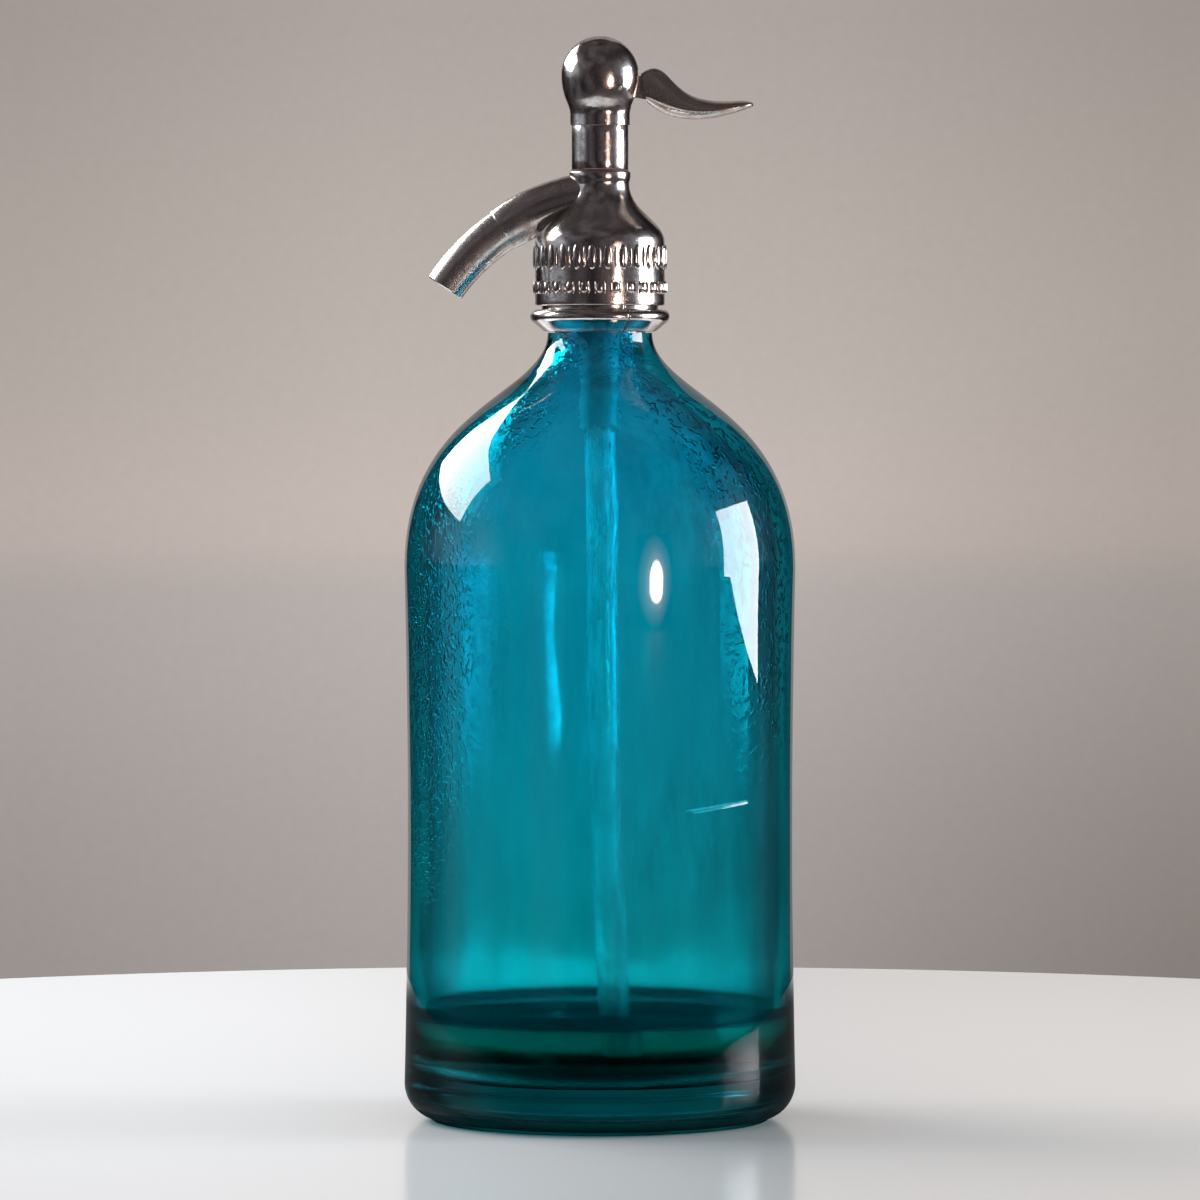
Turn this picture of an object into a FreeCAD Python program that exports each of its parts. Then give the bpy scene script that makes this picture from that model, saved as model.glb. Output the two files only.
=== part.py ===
import FreeCAD, Part
import math
import os
import re

import Sketcher

# Soda siphon: a glass bottle under a turned metal head with a thumb lever.
# The origin is the centre of the bottle's foot, +Z is up, the spout points to -X and the
# lever to +X. Heights are measured from the foot. The inner parts stack up from the mouth of
# the glass: gaskets, tube holder, valve seat, piston with its spring, spring barrel and dome.

SIZES = [
    # glass bottle
    ("bottle_radius", 55.0, "outside of the glass at the belly"),
    ("belly_top", 155.0, "height where the belly turns into the shoulder"),
    ("waist_depth", 0.9, "how far the belly is drawn in halfway up"),
    ("heel_radius", 10.0, "rounding between belly and foot"),
    ("foot_radius", 47.8, "outside of the foot ring"),
    ("foot_step", 1.2, "height of the foot ring's lip"),
    ("foot_land", 3.8, "width of the flat that the bottle stands on"),
    ("punt_height", 3.0, "rise of the underside at its centre"),
    ("glass_wall", 5.0, "thickness of the belly"),
    ("floor_thickness", 12.0, "thickness of the base"),
    ("floor_corner", 16.0, "inner rounding between floor and wall"),
    ("shoulder_height", 66.0, "height of the shoulder, up to the shelf under the neck groove"),
    ("shelf_radius", 14.7, "outside of the shoulder at the shelf"),
    ("shoulder_low_pull", 46.5, "how far the shoulder's curve stays upright at the belly"),
    ("shoulder_high_pull", 17.4, "how far the shoulder's curve stays upright at the neck"),
    ("inner_low_pull", 47.2, "the same for the inside, at the belly"),
    ("inner_high_pull", 18.2, "the same for the inside, at the neck"),
    ("inner_drop", 2.0, "how much lower the inner curve starts and ends"),
    ("mouth_bore", 9.6, "radius of the opening in the neck"),
    ("groove_radius", 12.8, "outside of the glass in the neck groove"),
    ("groove_height", 9.3, "height of the neck groove"),
    ("bead_radius", 14.6, "outside of the bead at the mouth"),
    ("bead_height", 5.7, "height of the bead"),
    ("bead_rounding", 1.5, "rounding of the bead's upper edge"),
    # split neck ring
    ("ring_foot_gap", 0.3, "gap between the ring and the glass shelf"),
    ("ring_bore_gap", 0.2, "radial gap between ring and glass"),
    ("ring_cone_radius", 15.6, "radius of the ring at its lower edge"),
    ("ring_cone_height", 2.9, "height of the cone under the ring's rolled rim"),
    ("ring_roll_radius", 1.9, "radius of the ring's rolled rim"),
    ("ring_radius", 19.65, "outside of the ring's rolled rim"),
    ("ring_roll_height", 4.3, "height of the roll's centre above the ring's lower edge"),
    ("thread_radius", 16.4, "outside of the ring's threaded part"),
    ("ring_gap_angle", 0.5, "half the gap between the ring halves, in degrees of turn"),
    ("ring_split_angle", 24.5, "turn of the split line from the front, in degrees"),
    ("ring_top_drop", 0.4, "how far the ring ends below the glass mouth"),
    # gaskets and tube holder
    ("gasket_thickness", 1.6, "thickness of the mouth and head gaskets"),
    ("gasket_inset", 0.3, "how far the gaskets and the holder's flange lie inside the bead"),
    ("holder_flange", 2.0, "thickness of the tube holder's flange"),
    ("holder_plug_gap", 0.3, "radial gap between the holder's plug and the glass"),
    ("holder_plug_depth", 13.6, "depth of the holder's plug below its flange"),
    ("holder_stub_radius", 5.6, "outside of the holder's stub"),
    ("holder_stub_length", 17.0, "length of the holder's stub below its plug"),
    ("flow_radius", 2.6, "water passage above the dip tube"),
    ("tube_seat_depth", 3.0, "depth of the tube's stop below the holder's top"),
    # dip tube and its sleeve
    ("tube_radius", 4.5, "outside of the dip tube"),
    ("tube_bore", 2.9, "inside radius of the dip tube"),
    ("tube_fit", 0.08, "radial gap between the dip tube and what holds it"),
    ("tube_straight", 34.0, "straight upper part of the dip tube"),
    ("tube_lean", 4.5, "how far the dip tube's lower end leans sideways"),
    ("tube_foot_gap", 4.0, "gap between the dip tube and the bottle's floor"),
    ("sleeve_length", 16.0, "length of the sleeve on the dip tube"),
    ("sleeve_wall", 1.0, "wall of the sleeve on the dip tube"),
    # head body
    ("skirt_gap", 1.1, "gap between the skirt and the ring's rolled rim"),
    ("skirt_radius", 18.24, "outside of the skirt"),
    ("skirt_edge", 0.5, "rounding of the skirt's lower edge"),
    ("skirt_height", 17.4, "height of the skirt"),
    ("bell_height", 17.0, "height of the bell's curved shoulder"),
    ("bell_low_pull", 6.7, "how far the bell's curve stays upright at the skirt"),
    ("bell_high_pull", 8.1, "how far the bell's curve stays upright at the column"),
    ("column_radius", 8.2, "waist of the head under its collar"),
    ("collar_radius", 8.6, "collar at the top of the head body"),
    ("collar_cone", 1.4, "height of the cone under the collar"),
    ("collar_height", 1.8, "height of the collar"),
    ("collar_edge", 0.5, "rounding of the collar's upper edge"),
    ("thread_clearance", 0.2, "radial gap round the ring's thread"),
    ("thread_room", 0.6, "room above the ring's thread"),
    ("gasket_clearance", 0.3, "radial gap round the gaskets in the head"),
    ("deck", 4.8, "metal between the head gasket and the valve chamber"),
    ("chamber_radius", 5.4, "radius of the valve chamber"),
    # valve seat
    ("seat_flange_radius", 6.3, "outside of the valve seat's flange"),
    ("seat_flange", 1.4, "thickness of the valve seat's flange"),
    ("seat_screw_radius", 4.6, "screwed part of the valve seat"),
    ("seat_nozzle_radius", 3.2, "nozzle that the valve rubber closes"),
    ("seat_nozzle_height", 2.6, "height of the nozzle above the chamber's floor"),
    ("seat_bore", 2.4, "passage through the valve seat"),
    ("screw_fit", 0.05, "radial gap of screwed and pressed parts"),
    # spout
    ("spout_bend", 60.0, "radius of the spout's centre line"),
    ("spout_bend_x", 6.2, "centre of the spout's bend, behind the head's axis"),
    ("spout_drop", 6.2, "height of the head's top over the top of the spout's bend"),
    ("spout_angle", 56.0, "angle of the spout's mouth on its bend"),
    ("socket_end_angle", 34.0, "angle where the cast socket ends"),
    ("socket_start_angle", 9.0, "angle where the cast socket starts, inside the head"),
    ("socket_seat_angle", 25.0, "angle where the spout tube stops in its socket"),
    ("socket_radius", 6.75, "outside of the cast socket"),
    ("port_radius", 2.9, "passage from the valve chamber to the spout"),
    ("spout_root_radius", 6.15, "outside of the spout tube in its socket"),
    ("spout_mouth_radius", 5.65, "outside of the spout tube at its mouth"),
    ("spout_bore", 4.4, "inside radius of the spout tube"),
    # spring barrel
    ("barrel_gasket", 0.5, "thickness of the ring between head and barrel"),
    ("barrel_radius", 8.0, "outside of the spring barrel"),
    ("barrel_length", 12.4, "visible length of the spring barrel"),
    ("barrel_bore", 5.2, "bore of the spring barrel"),
    ("spigot_radius", 6.8, "screwed lower end of the spring barrel"),
    ("spigot_length", 4.9, "length of the barrel's lower end"),
    ("barrel_neck_radius", 7.0, "screwed upper end of the spring barrel"),
    ("barrel_neck_length", 4.4, "length of the barrel's upper end"),
    # piston
    ("valve_thickness", 2.4, "thickness of the valve rubber"),
    ("valve_radius", 3.5, "radius of the valve rubber"),
    ("cup_overlap", 1.6, "how much of the rubber sits in its cup"),
    ("cup_wall", 0.8, "side wall of the valve cup"),
    ("cup_web", 1.4, "thickness of the valve cup above the rubber"),
    ("cup_neck_radius", 3.0, "neck of the valve cup"),
    ("tail_radius", 1.8, "screwed lower end of the piston rod"),
    ("washer_thickness", 0.8, "thickness of the seal washer"),
    ("washer_gap", 0.3, "radial gap between the washer and the barrel"),
    ("seal_lead", 0.2, "height of the seal over the barrel's lower end, at rest"),
    ("seal_thickness", 2.4, "thickness of the piston seal"),
    ("seal_fit", 0.08, "radial gap between the piston seal and the barrel"),
    ("flange_thickness", 1.4, "thickness of the rod's spring flange"),
    ("rod_radius", 3.0, "radius of the piston rod"),
    ("rod_head", 2.1, "height of the rod above its window"),
    ("window_height", 3.6, "height of the window in the rod"),
    ("window_width", 2.8, "width of the window in the rod"),
    # spring and guide bush
    ("spring_wire", 0.55, "radius of the spring wire"),
    ("spring_radius", 4.1, "mean radius of the spring"),
    ("spring_turns", 5.0, "turns of the spring"),
    ("spring_gap", 0.15, "gap between the spring and the rod's flange"),
    ("bush_flange", 1.2, "thickness of the guide bush's flange"),
    ("bush_fit", 0.05, "radial gap round the guide bush and round the rod"),
    # dome cap
    ("dome_radius", 11.0, "outside of the ball"),
    ("dome_rise", 14.0, "height of the ball's centre above the barrel"),
    ("dome_wall", 1.8, "wall of the ball"),
    ("dome_collar_radius", 8.4, "outside of the dome's collar"),
    ("dome_collar", 2.9, "height of the dome's collar"),
    ("dome_low_pull", 2.8, "how far the dome's curve stays upright at the collar"),
    ("dome_high_pull", 6.4, "how far the dome's curve stays upright at the ball"),
    ("dome_step_gap", 0.3, "gap between the guide bush and the dome's inner step"),
    ("dome_throat", 7.7, "inner radius above the guide bush"),
    ("slot_clearance", 0.3, "gap on each side of the lever's tongue"),
    ("slot_drop", 9.0, "depth of the slot's lower end below the ball's centre"),
    ("slot_rise", 1.4, "height of the slot's upper end above the ball's centre"),
    # lever and its pin
    ("pin_x", 5.4, "lever pin, out from the axis"),
    ("pin_drop", 3.35, "lever pin, below the ball's centre"),
    ("pin_radius", 1.1, "radius of the lever pin"),
    ("pin_recess", 0.25, "how far the pin's ends lie under the ball's surface"),
    ("pin_fit", 0.05, "radial gap between pin and lever"),
    ("hub_radius", 2.3, "hub of the lever round its pin"),
    ("tongue_thickness", 4.0, "thickness of the lever's tongue"),
    ("tongue_grip", 1.5, "how far the tongue runs into the blade"),
    ("tongue_inset", 0.7, "how far the tongue's edges lie inside the blade's root"),
    ("nose_reach", 5.4, "distance from the pin to the nose"),
    ("nose_angle", 11.0, "angle of the nose below the pin at rest, in degrees"),
    ("nose_radius", 1.5, "radius of the nose in the rod's window"),
    ("nose_thickness", 2.4, "thickness of the nose and its arm"),
    ("arm_height", 1.8, "height of the arm between hub and nose"),
    # blade of the lever, measured from its pin
    ("root_top_out", 6.0, "upper corner of the blade's root, out from the pin"),
    ("root_top_up", 3.75, "upper corner of the blade's root, above the pin"),
    ("root_low_out", 7.7, "lower corner of the blade's root, out from the pin"),
    ("root_low_down", 4.25, "lower corner of the blade's root, below the pin"),
    ("tip_out", 37.5, "tip of the blade, out from the pin"),
    ("tip_down", 5.0, "tip of the blade, below the pin"),
    ("tip_height", 0.8, "thickness of the blade at its tip"),
    ("root_width", 8.4, "width of the blade at its root"),
    ("pad_width", 14.0, "width of the blade under the thumb"),
    ("tip_width", 2.0, "width of the blade at the very tip"),
    ("hump_out", 17.1, "pull of the upper edge into the hump, out from the pin"),
    ("hump_up", 11.9, "pull of the upper edge into the hump, above the pin"),
    ("dip_out", 11.3, "pull of the upper edge into the dip, out from the pin"),
    ("dip_down", 12.7, "pull of the upper edge into the dip, below the pin"),
    ("rest_out", 33.9, "pull of the upper edge to the thumb rest, out from the pin"),
    ("rest_down", 0.8, "pull of the upper edge to the thumb rest, below the pin"),
    ("keel_out", 17.9, "pull of the lower edge, out from the pin"),
    ("keel_down", 13.2, "pull of the lower edge, below the pin"),
]

# Sides of the spring wire's section, few because the wire is only a millimetre thick.
WIRE_SIDES = 8

# How the lever's blade is shaped: sections along it, points round each section, the power that
# says how late its sides round off to the tip, and how far the widest line lies below the
# middle, as a share of half the height.
BLADE_SECTIONS = 8
OVAL_POINTS = 8
TIP_POWER = 6
RIDGE_DROP = 0.3

# Heights and other places, worked out from the sizes above.
AXIS = "0"
GROUND = "0"
SHOULDER_TOP = "belly_top + shoulder_height"
BEAD_BASE = SHOULDER_TOP + " + groove_height"
MOUTH = BEAD_BASE + " + bead_height"
GASKET_EDGE = "bead_radius - gasket_inset"
HOLDER_BASE = MOUTH + " + gasket_thickness"
HOLDER_TOP = HOLDER_BASE + " + holder_flange"
CEILING = HOLDER_TOP + " + gasket_thickness"
CHAMBER_FLOOR = CEILING + " + deck"
SEAT_TOP = CHAMBER_FLOOR + " + seat_nozzle_height"
PLUG_BASE = HOLDER_BASE + " - holder_plug_depth"
STUB_BASE = PLUG_BASE + " - holder_stub_length"
RING_BASE = SHOULDER_TOP + " + ring_foot_gap"
ROLL_Z = RING_BASE + " + ring_roll_height"
RIM_TOP = ROLL_Z + " + ring_roll_radius"
RING_TOP = MOUTH + " - ring_top_drop"
SKIRT_BASE = RIM_TOP + " + skirt_gap"
SKIRT_TOP = SKIRT_BASE + " + skirt_height"
COLUMN_BASE = SKIRT_TOP + " + bell_height"
COLLAR_BASE = COLUMN_BASE + " + collar_cone"
HEAD_TOP = COLLAR_BASE + " + collar_height"
BARREL_BASE = HEAD_TOP + " + barrel_gasket"
BARREL_TOP = BARREL_BASE + " + barrel_length"
SPIGOT_BASE = BARREL_BASE + " - spigot_length"
NECK_TOP = BARREL_TOP + " + barrel_neck_length"
BUSH_TOP = NECK_TOP + " + bush_flange"
CUP_ROOF = SEAT_TOP + " + valve_thickness"
CUP_BASE = CUP_ROOF + " - cup_overlap"
CUP_SHOULDER = CUP_ROOF + " + cup_web"
SEAL_BASE = SPIGOT_BASE + " + seal_lead"
CUP_TOP = SEAL_BASE + " - washer_thickness"
FLANGE_BASE = SEAL_BASE + " + seal_thickness"
FLANGE_TOP = FLANGE_BASE + " + flange_thickness"
SPRING_BASE = FLANGE_TOP + " + spring_gap"
DOME_Z = BARREL_TOP + " + dome_rise"
PIN_Z = DOME_Z + " - pin_drop"
NOSE_X = "pin_x - nose_reach * cos(nose_angle * 1deg)"
NOSE_Z = PIN_Z + " - nose_reach * sin(nose_angle * 1deg)"
WINDOW_BASE = NOSE_Z + " - window_height / 2"
WINDOW_TOP = NOSE_Z + " + window_height / 2"
ROD_TOP = WINDOW_TOP + " + rod_head"
TUBE_TOP = HOLDER_TOP + " - tube_seat_depth"
TUBE_BEND = TUBE_TOP + " - tube_straight"
TUBE_BASE = "floor_thickness + tube_foot_gap"
BEND_Z = HEAD_TOP + " - spout_drop - spout_bend"

doc = FreeCAD.newDocument("soda_siphon")
sheet = doc.addObject("Spreadsheet::Sheet", "Sizes")
for row, (alias, number, meaning) in enumerate(SIZES, start=1):
    sheet.set("A%d" % row, meaning)
    sheet.set("B%d" % row, str(number))
    sheet.setAlias("B%d" % row, alias)
doc.recompute()


def bound(expression):
    """The expression as the document wants it: each size with its sheet's name."""
    with_units = expression.replace("1deg", "1 °")
    return re.sub(r"\b([a-z][a-z_]*)\b(?!\s*\()", r"Sizes.\1", with_units)


def value(expression):
    """The number that an expression stands for, in millimetres or degrees."""
    return float(sheet.evalExpression(bound(expression)))


def point(x, z):
    return FreeCAD.Vector(value(x), value(z), 0)


# ---- sketches ---------------------------------------------------------------------------------

def new_body(label):
    body = doc.addObject("PartDesign::Body", label)
    body.Label = label
    return body


def new_sketch(body, plane, name):
    """A sketch on one of the body's own origin planes."""
    sketch = body.newObject("Sketcher::SketchObject", name)
    origin_plane = [f for f in body.Origin.OriginFeatures if f.Role == plane][0]
    sketch.AttachmentSupport = (origin_plane, [""])
    sketch.MapMode = "FlatFace"
    return sketch


def measure(sketch, constraint, expression):
    """Add a constraint whose number comes from the sheet."""
    index = sketch.addConstraint(constraint)
    sketch.setExpression("Constraints[%d]" % index, bound(expression))


def pin_point(sketch, geometry, end, x, y):
    """Fix a point of a sketch at a place given by two expressions."""
    if x == AXIS:
        sketch.addConstraint(Sketcher.Constraint("PointOnObject", geometry, end, -2))
    else:
        measure(sketch, Sketcher.Constraint("DistanceX", -1, 1, geometry, end, value(x)), x)
    if y == GROUND:
        sketch.addConstraint(Sketcher.Constraint("PointOnObject", geometry, end, -1))
    else:
        measure(sketch, Sketcher.Constraint("DistanceY", -1, 1, geometry, end, value(y)), y)


def to(x, y):
    """A straight run to a point."""
    return ("line", x, y, None)


def turn_left(x, y, radius):
    """A round run to a point, turning left."""
    return ("arc", x, y, (radius, 1))


def turn_right(x, y, radius):
    """A round run to a point, turning right."""
    return ("arc", x, y, (radius, -1))


def swell(x, y, pull_here, pull_there):
    """A flowing run to a point, upright at both ends."""
    return ("curve", x, y, (pull_here, pull_there))


def add_arc(sketch, start, end, radius, side):
    chord = end - start
    left = FreeCAD.Vector(-chord.y, chord.x, 0).normalize()
    size = value(radius)
    middle = (start + end) * 0.5
    centre = middle + left * side * math.sqrt(max(size ** 2 - (chord.Length / 2) ** 2, 0))
    first, last = (start, end) if side > 0 else (end, start)
    angles = [math.atan2(p.y - centre.y, p.x - centre.x) for p in (first, last)]
    if angles[1] < angles[0]:
        angles[1] += 2 * math.pi
    circle = Part.Circle(centre, FreeCAD.Vector(0, 0, 1), size)
    geometry = sketch.addGeometry(Part.ArcOfCircle(circle, angles[0], angles[1]))
    measure(sketch, Sketcher.Constraint("Radius", geometry, size), radius)
    return (geometry, 1, 2) if side > 0 else (geometry, 2, 1)


def add_curve(sketch, start, end, near, far):
    """A cubic curve; near and far are the places of its two inner poles."""
    curve = Part.BezierCurve()
    curve.setPoles([start, point(*near), point(*far), end])
    geometry = sketch.addGeometry(curve.toBSpline())
    sketch.exposeInternalGeometry(geometry)
    pin_point(sketch, geometry + 2, 3, *near)
    pin_point(sketch, geometry + 3, 3, *far)
    return (geometry, 1, 2)


def draw(sketch, start, runs, closed=True):
    """Draw an outline run by run, each corner fixed at its place from the sheet."""
    corners = [start] + [(x, y) for _, x, y, _ in runs]
    pieces = []
    for (x0, y0), (kind, x, y, shape) in zip(corners, runs):
        here = point(x0, y0)
        there = point(x, y)
        if kind == "line":
            pieces.append((sketch.addGeometry(Part.LineSegment(here, there)), 1, 2))
        elif kind == "arc":
            pieces.append(add_arc(sketch, here, there, *shape))
        else:
            up = "+" if there.y > here.y else "-"
            down = "-" if there.y > here.y else "+"
            near = (x0, "%s %s (%s)" % (y0, up, shape[0]))
            far = (x, "%s %s (%s)" % (y, down, shape[1]))
            pieces.append(add_curve(sketch, here, there, near, far))
    if closed:
        pieces.append((sketch.addGeometry(Part.LineSegment(point(*corners[-1]), point(*start))), 1, 2))
    for before, after in zip(pieces, pieces[1:]):
        join = Sketcher.Constraint("Coincident", before[0], before[2], after[0], after[1])
        sketch.addConstraint(join)
    if closed:
        last, first = pieces[-1], pieces[0]
        sketch.addConstraint(Sketcher.Constraint("Coincident", last[0], last[2], first[0], first[1]))
    for (geometry, begin, _), corner in zip(pieces, corners):
        pin_point(sketch, geometry, begin, *corner)
    if not closed:
        pin_point(sketch, pieces[-1][0], pieces[-1][2], *corners[-1])
    return sketch


def draw_circle(sketch, x, y, radius):
    circle = Part.Circle(point(x, y), FreeCAD.Vector(0, 0, 1), value(radius))
    geometry = sketch.addGeometry(circle)
    measure(sketch, Sketcher.Constraint("Radius", geometry, value(radius)), radius)
    pin_point(sketch, geometry, 3, x, y)
    return sketch


# ---- features ---------------------------------------------------------------------------------

def revolve(body, sketch, axis="V_Axis", angle="360", kind="Revolution", **options):
    feature = body.newObject("PartDesign::" + kind, body.Label + "_" + kind.lower())
    feature.Profile = sketch
    feature.ReferenceAxis = (sketch, [axis])
    feature.setExpression("Angle", bound(angle))
    for name, setting in options.items():
        setattr(feature, name, setting)
    sketch.Visibility = False
    return feature


def turned(label, start, runs):
    """A turned piece: an outline in the XZ plane, revolved round the Z axis."""
    body = new_body(label)
    sketch = new_sketch(body, "XZ_Plane", label + "_outline")
    draw(sketch, start, runs)
    revolve(body, sketch)
    return body


def flat_ring(label, inner, outer, base, top):
    return turned(label, (inner, base), [to(outer, base), to(outer, top), to(inner, top)])


def plate(body, name, thickness, kind="Pad"):
    """A sketch in the XZ plane for a plate that reaches equally to both sides of it."""
    sketch = new_sketch(body, "XZ_Plane", name + "_outline")
    feature = body.newObject("PartDesign::" + kind, name)
    feature.Profile = sketch
    feature.SideType = "Symmetric"
    feature.setExpression("Length", bound(thickness))
    return sketch


def bend_sketch(body, name, turn):
    """A sketch square to the spout's centre line, at a turn of its bend.

    Its own origin is the centre of the bend, and its upright axis points to the centre line."""
    sketch = new_sketch(body, "YZ_Plane", name)
    lean = FreeCAD.Rotation(FreeCAD.Vector(-1, 0, 0), value(turn))
    place = FreeCAD.Vector(0, value(BEND_Z), value("spout_bend_x"))
    sketch.AttachmentOffset = FreeCAD.Placement(place, lean)
    sketch.setExpression(".AttachmentOffset.Base.y", bound(BEND_Z))
    sketch.setExpression(".AttachmentOffset.Base.z", bound("spout_bend_x"))
    sketch.setExpression(".AttachmentOffset.Rotation.Angle", bound(turn))
    return sketch


def bent_rod(body, name, radius, start_turn, end_turn, kind):
    """A round rod along the spout's bend, added to a body or cut from it."""
    sketch = bend_sketch(body, name + "_section", start_turn)
    draw_circle(sketch, AXIS, "spout_bend", radius)
    sweep = "%s - (%s)" % (end_turn, start_turn)
    return revolve(body, sketch, "H_Axis", sweep, kind, Reversed=True)


# ---- glass bottle -----------------------------------------------------------------------------

def build_bottle():
    rim = "(foot_radius - foot_land)"
    punt_radius = "(%s ^ 2 + punt_height ^ 2) / (2 * punt_height)" % rim
    heel_start = ("bottle_radius - heel_radius + "
                  "sqrt(heel_radius ^ 2 - (heel_radius - foot_step) ^ 2)")
    half_belly = "((belly_top - heel_radius) / 2)"
    waist_radius = "(%s ^ 2 + waist_depth ^ 2) / (2 * waist_depth)" % half_belly
    inner_wall = "bottle_radius - glass_wall"
    return turned("glass_bottle", (AXIS, "punt_height"), [
        turn_right(rim, GROUND, punt_radius),
        to("foot_radius", GROUND),
        to("foot_radius", "foot_step"),
        to(heel_start, "foot_step"),
        turn_left("bottle_radius", "heel_radius", "heel_radius"),
        turn_right("bottle_radius", "belly_top", waist_radius),
        swell("shelf_radius", SHOULDER_TOP, "shoulder_low_pull", "shoulder_high_pull"),
        to("groove_radius", SHOULDER_TOP),
        to("groove_radius", BEAD_BASE),
        to("bead_radius", BEAD_BASE),
        to("bead_radius", MOUTH + " - bead_rounding"),
        turn_left("bead_radius - bead_rounding", MOUTH, "bead_rounding"),
        to("mouth_bore", MOUTH),
        to("mouth_bore", SHOULDER_TOP + " - inner_drop"),
        swell(inner_wall, "belly_top - inner_drop", "inner_high_pull", "inner_low_pull"),
        to(inner_wall, "floor_thickness + floor_corner"),
        turn_right(inner_wall + " - floor_corner", "floor_thickness", "floor_corner"),
        to(AXIS, "floor_thickness"),
    ])


# ---- split neck ring --------------------------------------------------------------------------

def build_ring_half(label, turn):
    """Half of the collar that grips the glass under its bead."""
    bore = "groove_radius + ring_bore_gap"
    bead_bore = "bead_radius + ring_bore_gap"
    roll_centre = "(ring_radius - ring_roll_radius)"
    roll_start_z = RING_BASE + " + ring_cone_height"
    roll_start = (roll_centre + " + sqrt(ring_roll_radius ^ 2"
                  " - (ring_roll_height - ring_cone_height) ^ 2)")
    body = new_body(label)
    sketch = new_sketch(body, "XZ_Plane", label + "_outline")
    draw(sketch, (bore, RING_BASE), [
        to("ring_cone_radius", RING_BASE),
        to(roll_start, roll_start_z),
        turn_left("ring_radius", ROLL_Z, "ring_roll_radius"),
        turn_left(roll_centre, RIM_TOP, "ring_roll_radius"),
        to("thread_radius", RIM_TOP),
        to("thread_radius", RING_TOP),
        to(bead_bore, RING_TOP),
        to(bead_bore, BEAD_BASE),
        to(bore, BEAD_BASE),
    ])
    revolve(body, sketch, angle="180 - 2 * ring_gap_angle", Midplane=True)
    upright = FreeCAD.Vector(0, 0, 1)
    body.Placement = FreeCAD.Placement(FreeCAD.Vector(), FreeCAD.Rotation(upright, value(turn)))
    body.setExpression(".Placement.Rotation.Angle", bound(turn))
    return body


# ---- gaskets, tube holder, sleeve and dip tube ------------------------------------------------

def build_tube_holder():
    seat = "tube_radius + tube_fit"
    plug = "mouth_bore - holder_plug_gap"
    return turned("tube_holder", ("flow_radius", HOLDER_TOP), [
        to("flow_radius", TUBE_TOP),
        to(seat, TUBE_TOP),
        to(seat, STUB_BASE),
        to("holder_stub_radius", STUB_BASE),
        to("holder_stub_radius", PLUG_BASE),
        to(plug, PLUG_BASE),
        to(plug, HOLDER_BASE),
        to(GASKET_EDGE, HOLDER_BASE),
        to(GASKET_EDGE, HOLDER_TOP),
    ])


def build_dip_tube():
    """A tube that hangs straight from its holder and then leans gently to one side."""
    fall = "(%s - (%s))" % (TUBE_BEND, TUBE_BASE)
    bend_radius = "(%s ^ 2 + tube_lean ^ 2) / (2 * tube_lean)" % fall
    body = new_body("dip_tube")
    path = new_sketch(body, "XZ_Plane", "dip_tube_path")
    draw(path, (AXIS, TUBE_TOP), [
        to(AXIS, TUBE_BEND),
        turn_left("tube_lean", TUBE_BASE, bend_radius),
    ], closed=False)
    section = new_sketch(body, "XY_Plane", "dip_tube_section")
    section.AttachmentOffset = FreeCAD.Placement(FreeCAD.Vector(0, 0, value(TUBE_TOP)),
                                                 FreeCAD.Rotation())
    section.setExpression(".AttachmentOffset.Base.z", bound(TUBE_TOP))
    draw_circle(section, AXIS, GROUND, "tube_radius")
    draw_circle(section, AXIS, GROUND, "tube_bore")
    pipe = body.newObject("PartDesign::AdditivePipe", "dip_tube_pipe")
    pipe.Profile = section
    pipe.Spine = (path, [])
    return body


# ---- head body with its spout socket ----------------------------------------------------------

def build_head_body():
    thread = "thread_radius + thread_clearance"
    thread_end = RING_TOP + " + thread_room"
    gasket = GASKET_EDGE + " + gasket_clearance"
    seat_flange = "seat_flange_radius + screw_fit"
    seat_screw = "seat_screw_radius + screw_fit"
    spigot = "spigot_radius + screw_fit"
    body = turned("head_body", (AXIS, SKIRT_BASE), [
        to("skirt_radius - skirt_edge", SKIRT_BASE),
        turn_left("skirt_radius", SKIRT_BASE + " + skirt_edge", "skirt_edge"),
        to("skirt_radius", SKIRT_TOP),
        swell("column_radius", COLUMN_BASE, "bell_low_pull", "bell_high_pull"),
        to("collar_radius", COLLAR_BASE),
        to("collar_radius", HEAD_TOP + " - collar_edge"),
        turn_left("collar_radius - collar_edge", HEAD_TOP, "collar_edge"),
        to(AXIS, HEAD_TOP),
    ])
    bent_rod(body, "socket", "socket_radius", "socket_start_angle", "socket_end_angle", "Revolution")
    cavity = new_sketch(body, "XZ_Plane", "head_cavity_outline")
    draw(cavity, (AXIS, SKIRT_BASE), [
        to(thread, SKIRT_BASE),
        to(thread, thread_end),
        to(gasket, thread_end),
        to(gasket, CEILING),
        to(seat_flange, CEILING),
        to(seat_flange, CEILING + " + seat_flange"),
        to(seat_screw, CEILING + " + seat_flange"),
        to(seat_screw, CHAMBER_FLOOR),
        to("chamber_radius", CHAMBER_FLOOR),
        to("chamber_radius", SPIGOT_BASE),
        to(spigot, SPIGOT_BASE),
        to(spigot, HEAD_TOP),
        to(AXIS, HEAD_TOP),
    ])
    revolve(body, cavity, kind="Groove")
    seat = "spout_root_radius + screw_fit"
    bent_rod(body, "socket_seat", seat, "socket_seat_angle", "socket_end_angle", "Groove")
    bent_rod(body, "spout_port", "port_radius", "socket_start_angle", "socket_seat_angle", "Groove")
    return body


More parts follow.
